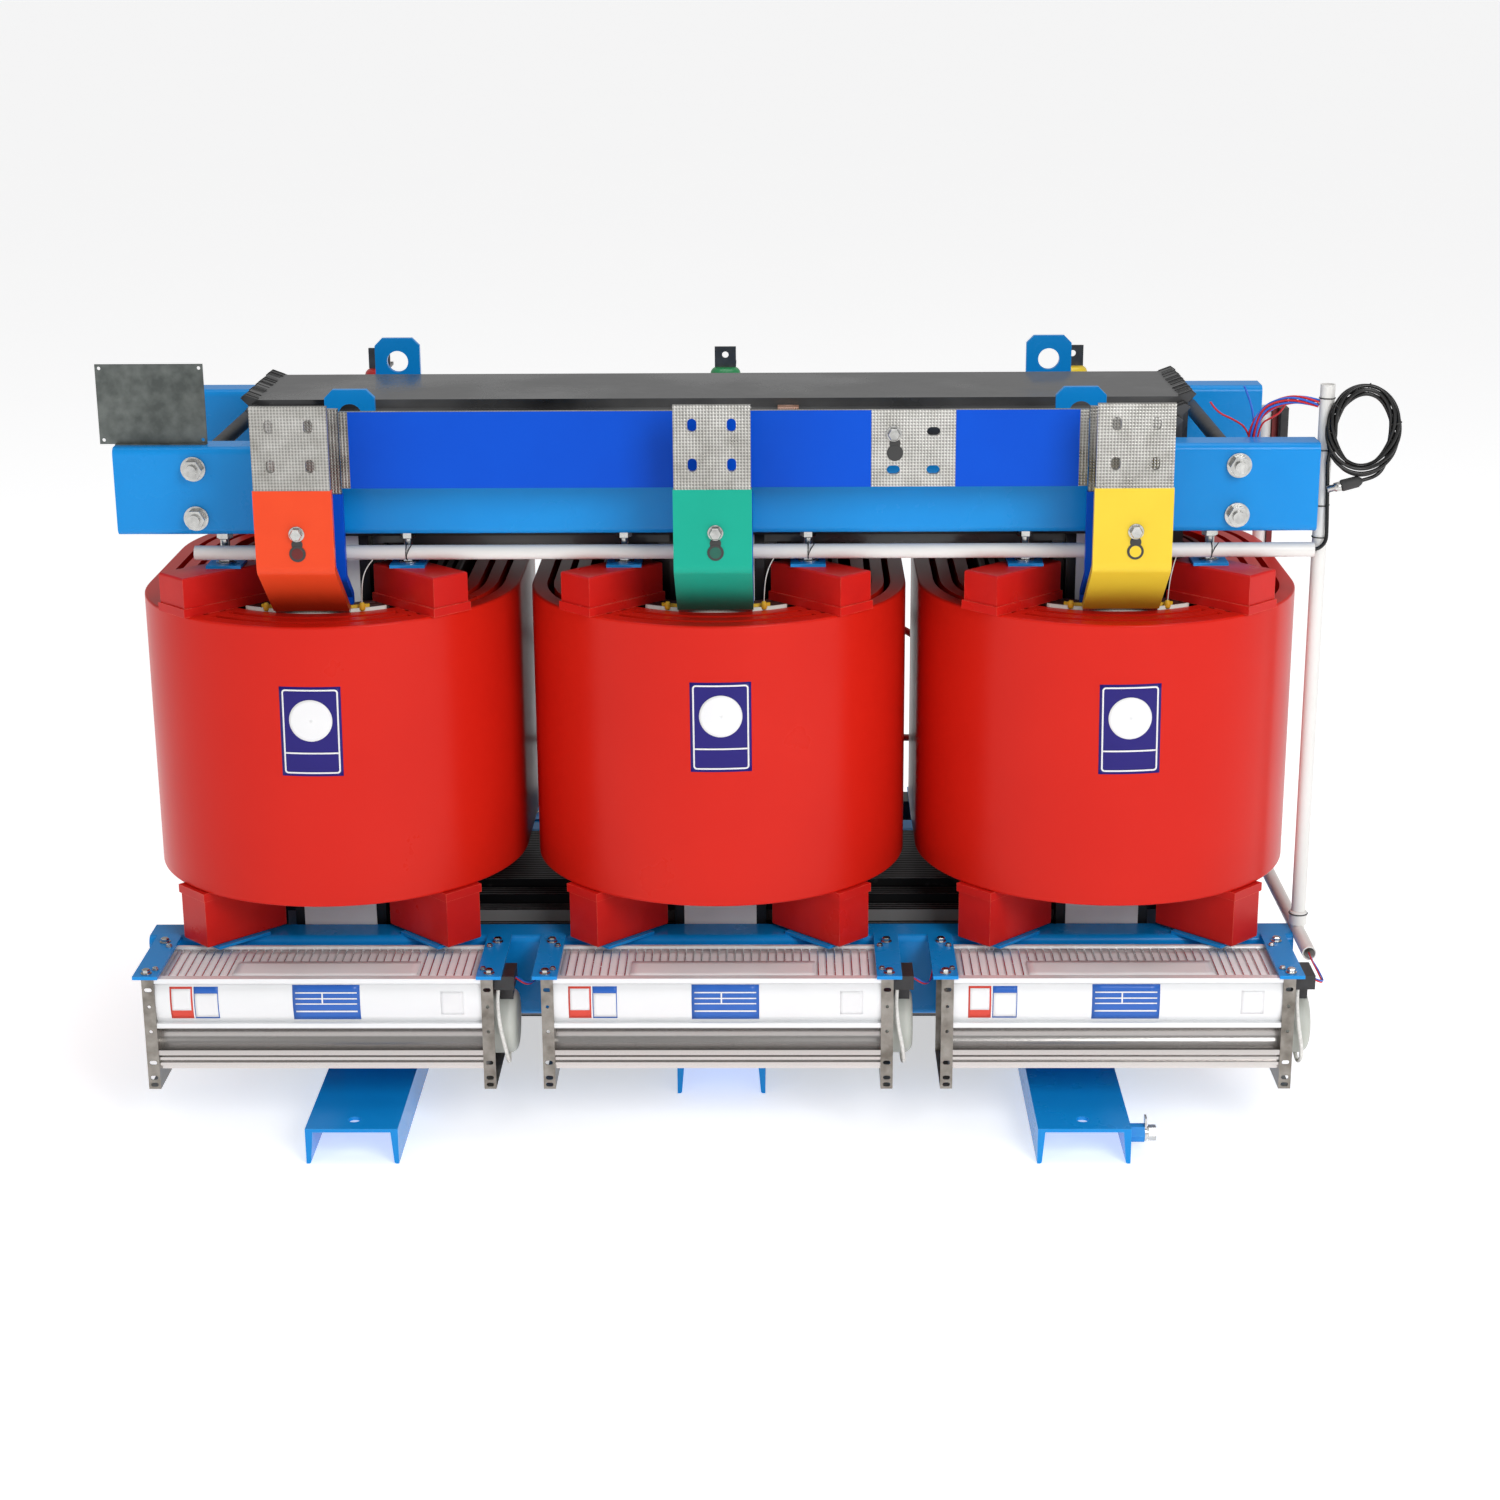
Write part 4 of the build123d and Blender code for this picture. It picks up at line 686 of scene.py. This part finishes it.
class TRANSFORMER_OT_stage(bpy.types.Operator):
    """Camera at the photograph's place, pale floor and soft light."""

    bl_idname = "transformer.stage"
    bl_label = "Camera, floor and light"

    def execute(self, context):
        scene = context.scene
        view, light = scene.tr_camera, scene.tr_light
        level_share = math.cos(view.pitch)
        forward = Vector((math.sin(view.yaw) * level_share, math.cos(view.yaw) * level_share,
                          -math.sin(view.pitch)))
        level = Vector((math.cos(view.yaw), -math.sin(view.yaw), 0))
        rise = level.cross(forward)
        right = level * math.cos(view.roll) + rise * math.sin(view.roll)
        up = rise * math.cos(view.roll) - level * math.sin(view.roll)
        camera_data = bpy.data.cameras.new("camera")
        camera_data.sensor_width = SENSOR
        camera_data.sensor_fit = "HORIZONTAL"
        camera_data.lens = SENSOR * view.focal / PHOTO_PIXELS
        camera_data.clip_end = 400
        camera = new_object("camera", camera_data)
        camera.matrix_world = Matrix.Translation((view.x, view.y, view.z)) @ Matrix(
            (right, up, -forward)).transposed().to_4x4()
        scene.camera = camera
        world = bpy.data.worlds.new("sky")
        world.use_nodes = True
        sky = world.node_tree.nodes["Background"]
        sky.inputs["Color"].default_value = WHITE
        sky.inputs["Strength"].default_value = light.sky
        scene.world = world
        for name, power, size, place, aim in (
            ("key", light.key, 2.4, (2.6, -4.8, 3.6), (0, 0, 0.6)),
            ("top", light.top, 4.5, (0.3, 0.4, 5.4), (0, 0, 0)),
            ("fill", 0.15 * light.key, 3.0, (-3.6, -4.4, 2.4), (0, 0, 0.6)),
        ):
            lamp = bpy.data.lights.new(name, "AREA")
            lamp.shape = "SQUARE"
            lamp.size = size
            lamp.energy = power
            holder = new_object(name, lamp)
            holder.location = place
            holder.rotation_euler = (Vector(aim) - Vector(place)).to_track_quat("-Z", "Y").to_euler()
        half = light.floor
        mesh = bpy.data.meshes.new("floor")
        mesh.from_pydata([(-half, -half, 0), (half, -half, 0), (half, half, 0), (-half, half, 0)],
                         [], [(0, 1, 2, 3)])
        pale = material("floor", (0.93, 0.93, 0.93), (0.91, 0.91, 0.92), 2, 1, (0.6, 0.7), (40, 0.02))
        shader = pale.node_tree.nodes["Principled BSDF"]
        shader.inputs["Emission Color"].default_value = WHITE
        shader.inputs["Emission Strength"].default_value = light.glow
        mesh.materials.append(pale)
        floor = new_object("floor", mesh)
        scene.view_settings.view_transform = "Standard"
        return {"FINISHED"}


class TRANSFORMER_OT_cable(bpy.types.Operator):
    """Black cable out of the conduit's end, up to its tied loop and plug."""

    bl_idname = "transformer.cable"
    bl_label = "Black cable"

    def execute(self, context):
        cable = context.scene.tr_cable
        lead = np.array((1.018, *CONDUIT)) + MM * np.array((
            (-10, 0, 0), (-5.8, 0, 0), (3, 0.1, 0), (11.1, 0.5, 3.4), (17.3, 1.2, 9.6), (20.6, 2, 17.8),
            (20.8, 2.6, 26.6), (20.6, 3.3, 40), (20, 3.9, 62), (18.6, 4.3, 96), (16.6, 3.5, 134),
            (15.2, -0.6, 162),
        ))
        # Each turn is an ellipse of 16 points. The strand goes round the middle of the bundle as it
        # turns, a little faster on one side, so the strands cross and lie beside each other.
        centre = np.array((1.0895, -0.3153, 1.217))
        strand_gap = 1.25 * cable.diameter
        sweep = math.radians(-14) + np.arange(int(cable.turns * 16 + 11)) * 2 * math.pi / 16
        shift = math.radians(200) + sweep / 6 + 2.2 * np.sin(sweep)
        widths = cable.half_width + strand_gap * np.cos(shift)
        heights = cable.half_height + strand_gap * np.cos(shift)
        loop = centre + np.stack([-widths * np.cos(sweep), strand_gap * np.sin(shift),
                                  heights * np.sin(sweep)], -1)
        tail = centre + MM * np.array(((43.9, 10.7, -48.6), (40.4, 7.7, -62), (33.8, 3.8, -71.6),
                                       (25.9, 1.7, -78), (14.1, 1.6, -83.1), (-0.1, 0, -86.4)))
        cord = spline_curve("black_cable", np.concatenate([lead, loop, tail]), cable.diameter / 2,
                            bpy.data.materials["cable"])
        ties = []
        for turn in (-30, 35, 97, 170):
            a = math.radians(turn)
            middle = centre + [-cable.half_width * math.cos(a), 0, cable.half_height * math.sin(a)]
            out = np.array((-math.cos(a), 0, math.sin(a)))
            ring = circle(20)
            ties.append(tube_mesh(middle + 0.0099 * (ring[:, :1] * out + ring[:, 1:] * [0, 1, 0]),
                                  0.0008, 6, closed=True))
        tie = add_mesh("loop_ties", ties, "black_plastic", True)
        tilt = math.radians(15)
        along = np.array((-math.cos(tilt), 0, -math.sin(tilt)))
        lift = np.array((-math.sin(tilt), 0, math.cos(tilt)))
        origin = centre + [0, 0, -0.075] - 0.011 * lift
        axes = np.stack([lift, (0, 1, 0), along])

        def plug_part(name, profile, finish):
            points, faces = lathe(profile, 24)
            return add_mesh(name, [(origin + points @ axes, faces)], finish, True)

        plug = plug_part("cable_plug_body", [(0.0045, 0), (0.0070, 0.003), (0.0098, 0.008),
                                             (0.0100, 0.034), (0.0090, 0.036)],
                         "black_plastic")
        tip = plug_part("cable_plug_shell", [(0.0074, 0.036), (0.0080, 0.037), (0.0080, 0.047),
                                             (0.0060, 0.048), (0.0060, 0.0595), (0.0050, 0.06)],
                        "zinc")
        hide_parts("cable_coil", "cable_lead")
        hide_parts("cable_plug")
        return {"FINISHED"}


class TRANSFORMER_OT_signs(bpy.types.Operator):
    """Blank blue signs with a white outline, bar and disc on the fronts of the coils."""

    bl_idname = "transformer.signs"
    bl_label = "Coil signs"

    def execute(self, context):
        sign = context.scene.tr_sign
        w, h, line = sign.width, sign.height, sign.line
        margin = 0.009
        over = 0.0009
        disc_middle = np.array((0, 0.125 * h))
        spots = ((-0.682, 0.7375, -0.012), (0.0095, 0.7435, 0.004), (0.697, 0.7385, 0.014))
        for (x, z, lean), coil_x, name in zip(spots, PHASES, SIDES):
            def place(u, v, lift=over):
                return coil_patch(coil_x, x - coil_x + u - lean * v, z + v + lean * u, lift)

            plate = rectangle(16, 16, (-w / 2, w / 2, -h / 2, h / 2), lambda u, v: place(u, v, 0.0002))
            add_mesh("sign_%s" % name, [plate], "sign_blue", True, 0.0006)
            outer = rounded_outline(w - margin, h - margin, 0.006)
            inner = rounded_outline(w - margin - 2 * line, h - margin - 2 * line, 0.0035)
            bar_half, bar_z = (w - 0.011) / 2, -0.25 * h
            bar = rectangle(2, 12, (-bar_half, bar_half, bar_z, bar_z + line), place)
            rings = circle(48) * sign.disc * np.linspace(0.001, 1, 8)[:, None, None] + disc_middle
            disc = place(rings[..., 0], rings[..., 1]), grid_faces(8, 48, close_columns=True)[:, ::-1]
            add_mesh("sign_marks_%s" % name, (ring_patch(outer, inner, place), bar, disc), "sign_white",
                     True, 0.0003)
        return {"FINISHED"}


class TRANSFORMER_OT_fan_papers(bpy.types.Operator):
    """Papers and boards under and on the guards, and bare stickers on the fans' fronts."""

    bl_idname = "transformer.fan_papers"
    bl_label = "Fan papers and stickers"

    def execute(self, context):
        shapes = {key: [] for key in ("sheet", "board", "white", "blue", "red", "line")}
        low, over = 0.0005, 0.0009
        for fan in FANS:
            centre, side = fan

            def lay(x, y, z):
                wave = 0.0004 * np.sin(37 * x + 9 * centre) * np.sin(50 * y)
                return np.stack([side * (centre + x), side * y, z + wave], axis=-1)

            shapes["sheet"].append(rectangle(8, 40, (-0.272, 0.272, -0.5015, -0.3725),
                                             lambda x, y: lay(x, y, GUARD_TOP)))
            if side < 0:
                continue
            shapes["board"].append(rectangle(6, 24, (-0.150, 0.168, -0.498, -0.432),
                                             lambda x, y: lay(x, y, GUARD_TOP + 0.0041)))
            for bounds, lift, group in (
                ((-0.2555, -0.2165, 0.10, 0.90), low, "red"),
                ((-0.2140, -0.1720, 0.10, 0.90), low, "blue"),
                ((-0.2125, -0.1735, 0.14, 0.74), over, "white"),
                ((-0.2525, -0.2195, 0.32, 0.85), over, "white"),
                ((-0.0440, 0.0720, 0.07, 0.94), low, "blue"),
                *(((-0.0390, 0.0670, *ends), over, "line")
                  for ends in ((0.27, 0.31), (0.47, 0.50), (0.60, 0.63), (0.74, 0.77))),
                ((0.0060, 0.0085, 0.47, 0.77), over, "line"),
                ((0.2110, 0.2500, 0.20, 0.78), low, "white"),
            ):
                shapes[group].append(rectangle(8, 8, bounds, lambda x, t: panel_point(fan, x, t, lift)))
        for name, group, finish, thick in (
            ("guard_papers", "sheet", "paper", 0.0003),
            ("guard_boards", "board", "sign_white", 0.0006),
            ("stickers_white", "white", "sign_white", 0.0002),
            ("stickers_blue", "blue", "label_blue", 0.0002),
            ("stickers_red", "red", "label_red", 0.0002),
            ("sticker_lines", "line", "sign_white", 0.0001),
        ):
            add_mesh(name, shapes[group], finish, True, thick)
        return {"FINISHED"}


class TRANSFORMER_OT_bolts(bpy.types.Operator):
    """Bolts of the bars, fan arms and press studs, and the small tags under the bar bolts."""

    bl_idname = "transformer.bolts"
    bl_label = "Bolts and tags"

    def execute(self, context):
        bolt = context.scene.tr_bolt

        def on_bars(z, neutral_x, neutral_z):
            return np.array([(x + 0.0045, SLEEVE_FACE, z) for x in PHASES]
                            + [(neutral_x, NEUTRAL_FACE, neutral_z)])

        def on_arms(x_out, *depths):
            return [(side * (x + end * x_out), side * y, ARM_TOP)
                    for x, side in FANS for end in (-1, 1) for y in depths]

        def on_studs(z):
            return [(x + end * 0.1575, side * STUD_Y, z)
                    for x in PHASES for end in (-1, 1) for side in (-1, 1)]

        corner = bolt.press_nut / 2
        nut = lathe([(corner * 0.92, 0), (corner, 0.0012), (corner, 0.0118), (corner * 0.92, 0.013)], 6)
        washer = lathe([(0.0168, 0), (0.0170, 0.0003), (0.0170, 0.0025), (0.0168, 0.0028)], 32)
        add_mesh("bolts", (
            copies(hex_bolt(bolt.bar_bolt / 2, 0.0130, 0.0105), "front", on_bars(1.0855, 0.2985, 1.2295)),
            copies(hex_bolt(bolt.arm_bolt / 2, 0.0095, 0.0070), "up", on_arms(0.295, -0.363, -0.512)),
            copies(hex_bolt(0.0048, 0.0055, 0.0040), "up", on_arms(0.283, -0.385, -0.495)),
            copies(washer, "up", on_studs(0.991)),
            copies(nut, "up", on_studs(0.9938)),
            copies(nut, "up", on_studs(1.0330)),
        ), "zinc")
        rim = lathe([(0.0131, 0), (0.0135, 0.0004), (0.0135, 0.0014), (0.0131, 0.0018)], 40)
        neck = lathe([(0.0088, 0), (0.0092, 0.0004), (0.0092, 0.0010), (0.0088, 0.0012)], 32)
        disc = lathe([(0.0096, 0.0010), (0.0096, 0.0020), (0.0092, 0.0022)], 32)
        tags = on_bars(1.0525, 0.3005, 1.1975)
        add_mesh("bar_tags", (copies(rim, "front", tags), copies(neck, "front", tags + [0, 0, 0.0155])),
                 "black_plastic")
        for tag, name, finish in zip(tags, SIDES, ("tag_red", "tag_green", "yellow")):
            add_mesh("tag_disc_%s" % name, [copies(disc, "front", [tag])], finish)
        return {"FINISHED"}


class TRANSFORMER_OT_strips(bpy.types.Operator):
    """Yellow and white strips between the windings, and the copper shim on the yoke's step."""

    bl_idname = "transformer.strips"
    bl_label = "Winding strips"

    def execute(self, context):
        foot = 0.900
        for name, radius, half_turn, top, finish, thick in (
            ("white_strips", 0.2315, 0.55, 0.9235, "strip_white", 0.0035),
            ("yellow_strips", 0.2225, 0.43, 0.9275, "strip_yellow", 0.0040),
        ):
            def arc(angle, z):
                return np.stack([x + radius * np.sin(angle), side * (ROUND_Y + radius * np.cos(angle)), z],
                                axis=-1)

            shapes = []
            for x in PHASES:
                for side in (-1, 1):
                    shapes.append(rectangle(2, 40, (-half_turn, half_turn, foot, top), arc))
            add_mesh(name, shapes, finish, True, thick)
        knob = lathe([(0.004, 0), (0.0055, 0.003), (0.0055, 0.010), (0.003, 0.014)], 16)
        knobs = [(x + end * 0.082, -0.350, COIL_TOP) for x in PHASES for end in (-1, 1)]
        add_mesh("winding_knobs", [copies(knob, "up", knobs)], "strip_yellow", True)
        shim = copies(box_shape(0.037, 0.030, 0.004, 0.0006), "up", [(0.124, -0.158, 1.230)])
        add_mesh("copper_shim", [shim], "copper")
        return {"FINISHED"}


class TRANSFORMER_OT_sheet_ends(bpy.types.Operator):
    """Ends of single sheets that stand out of the yokes' corners like a comb."""

    bl_idname = "transformer.sheet_ends"
    bl_label = "Sheet ends"

    def execute(self, context):
        combs = context.scene.tr_comb
        chance = np.random.default_rng(7)
        # Outline of one sheet end, outwards and upwards from the yoke's corner
        profile = np.array(((-0.016, 0.002), (0.004, 0.0095), (0.0125, 0.0035), (0.002, -0.0095),
                            (-0.014, -0.008)))
        centres, edges = [], []
        for inner, outer, half_width in PACKETS:
            ys = np.arange(inner + combs.pitch / 2, outer, combs.pitch)
            centres.append(np.concatenate([ys, -ys]))
            edges.append(np.full(2 * len(ys), half_width))
        y, edge = np.concatenate(centres), np.concatenate(edges)
        one = grid_faces(2, 5, close_columns=True).tolist() + [[4, 3, 2, 1, 0], [5, 6, 7, 8, 9]]
        for name, z, up in YOKES:
            shapes = []
            for end in (-1, 1):
                reach = 1 + chance.uniform(-combs.spread, combs.spread, (len(y), 1, 1))
                outline = profile[None] * reach
                x = end * (PHASES[2] + edge[:, None] + outline[..., 0])
                height = z + up * (edge[:, None] + outline[..., 1])
                near = np.stack([x, np.broadcast_to(y[:, None] - combs.sheet / 2, x.shape), height], -1)
                far = near + [0, combs.sheet, 0]
                shapes += [(solid, one) for solid in np.concatenate([near, far], axis=1)]
            add_mesh("sheet_ends_%s" % name, shapes, "core")
        return {"FINISHED"}


class TRANSFORMER_OT_wires(bpy.types.Operator):
    """Red and blue wires at the fans and from the clamp to the upright, and black ties on the conduits."""

    bl_idname = "transformer.wires"
    bl_label = "Thin wires and ties"

    def execute(self, context):
        mats = bpy.data.materials
        pair = (mats["wire_red"], mats["wire_blue"])

        def steps(start, *points):
            return np.array(start) + MM * np.array(points)

        first = []
        from_box = steps((0.337, -0.480, 0.287), (-1, 2, 11), (8, -4, 7), (20, -3, 0), (31, 10, -2))
        to_clamp = steps((0.337, -0.329, 0.312), (37, -114, -19), (39, -80, -12), (38, -40, -9),
                         (38, 0.5, -9))
        route = np.concatenate([from_box, to_clamp])
        routes = [(route + [x, 0, 0]) * [side, side, 1] for side in (1, -1) for x in PHASES[:2]]
        routes.append(np.concatenate([
            steps((1.023, -0.480, 0.287), (-2, -6, 11), (8, -7, 7), (20, 4, -1), (23, 24, -4)),
            steps((1.0308, -0.410, 0.313), (10.2, -26, -20), (3.2, -10, -9), (0.6, 9, -3)),
        ]))
        for index, line in enumerate(routes):
            first += strands("fan_wire_%d" % (index + 1), line, 2, 0.0014, 0.0013, pair)
        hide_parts("fan_wires")
        upright_top = (*UPRIGHT, 1.197)
        bundle = steps(upright_top, (-116, 43.8, -67), (-117, 43.8, -25), (-115, 43.8, 15), (-97, 38.5, 46),
                       (-68, 28.5, 62), (-39, 13.5, 67), (-13, 1.5, 61.5))
        wires = strands("bundle_wire", bundle, 8, 0.0060, 0.0018, pair)
        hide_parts("wire_bundle")
        for index, points in enumerate((
            ((-116, 46, -20), (-122, 47, 10), (-150, 44, 28), (-178, 40, 40), (-190, 38, 58)),
            ((-112, 46, -20), (-112, 48, 22), (-122, 46, 62), (-133, 44, 84)),
            ((-108, 46, -20), (-104, 46, 18), (-86, 40, 30), (-70, 36, 40), (-62, 33, 58)),
        )):
            spline_curve("loose_wire_%d" % (index + 1), steps(upright_top, *points), 0.0017,
                         pair[index % 2])
        for index, x in enumerate(PHASES):
            line = np.array((x, 0, 0)) + [(0.099, CONDUIT[0], 1.000), (0.094, -0.330, 0.995),
                                          (0.088, -0.348, 0.985), (0.083, -0.353, 0.962),
                                          (0.082, -0.350, 0.931)]
            spline_curve("sensor_wire_%d" % (index + 1), line, 0.0009, mats["strip_white"])
        ring = circle(24)
        tie_half = 0.0131
        ties = []
        for x in (-0.5285, 0.1575, 0.8435):
            around = np.column_stack([np.full(24, x), CONDUIT + tie_half * ring])
            end = ((x, -0.3245, 1.006), (x + 0.004, -0.327, 1.018), (x + 0.010, -0.329, 1.028))
            ties += [tube_mesh(around, 0.0011, 6, closed=True), tube_mesh(end, 0.0011, 6)]
        for z, half in ((1.268, tie_half), (1.085, tie_half), (0.345, 0.0161), (1.180, tie_half),
                        (1.030, tie_half)):
            around = np.column_stack([UPRIGHT + half * ring, np.full(24, z)])
            ties.append(tube_mesh(around, 0.0011, 6, closed=True))
        add_mesh("conduit_ties", ties, "black_plastic", True)
        return {"FINISHED"}


class TRANSFORMER_PT_panel(bpy.types.Panel):
    """Buttons that build each group."""

    bl_idname = "TRANSFORMER_PT_panel"
    bl_label = "Transformer"
    bl_space_type = "VIEW_3D"
    bl_region_type = "UI"
    bl_category = "Transformer"

    def draw(self, context):
        for cls in OPERATORS:
            self.layout.operator(cls.bl_idname)


OPERATORS = (
    TRANSFORMER_OT_dress,
    TRANSFORMER_OT_stage,
    TRANSFORMER_OT_cable,
    TRANSFORMER_OT_signs,
    TRANSFORMER_OT_fan_papers,
    TRANSFORMER_OT_bolts,
    TRANSFORMER_OT_strips,
    TRANSFORMER_OT_sheet_ends,
    TRANSFORMER_OT_wires,
)


def register():
    for cls in (*PROPS.values(), *OPERATORS, TRANSFORMER_PT_panel):
        bpy.utils.register_class(cls)
    for name, cls in PROPS.items():
        setattr(bpy.types.Scene, name, bpy.props.PointerProperty(type=cls))


def unregister():
    for name in PROPS:
        delattr(bpy.types.Scene, name)
    for cls in (TRANSFORMER_PT_panel, *reversed(OPERATORS), *PROPS.values()):
        bpy.utils.unregister_class(cls)


def main():
    register()
    bpy.ops.transformer.dress()
    bpy.ops.transformer.stage()
    bpy.ops.transformer.cable()
    bpy.ops.transformer.signs()
    bpy.ops.transformer.fan_papers()
    bpy.ops.transformer.bolts()
    bpy.ops.transformer.strips()
    bpy.ops.transformer.sheet_ends()
    bpy.ops.transformer.wires()


if __name__ == "__main__":
    main()
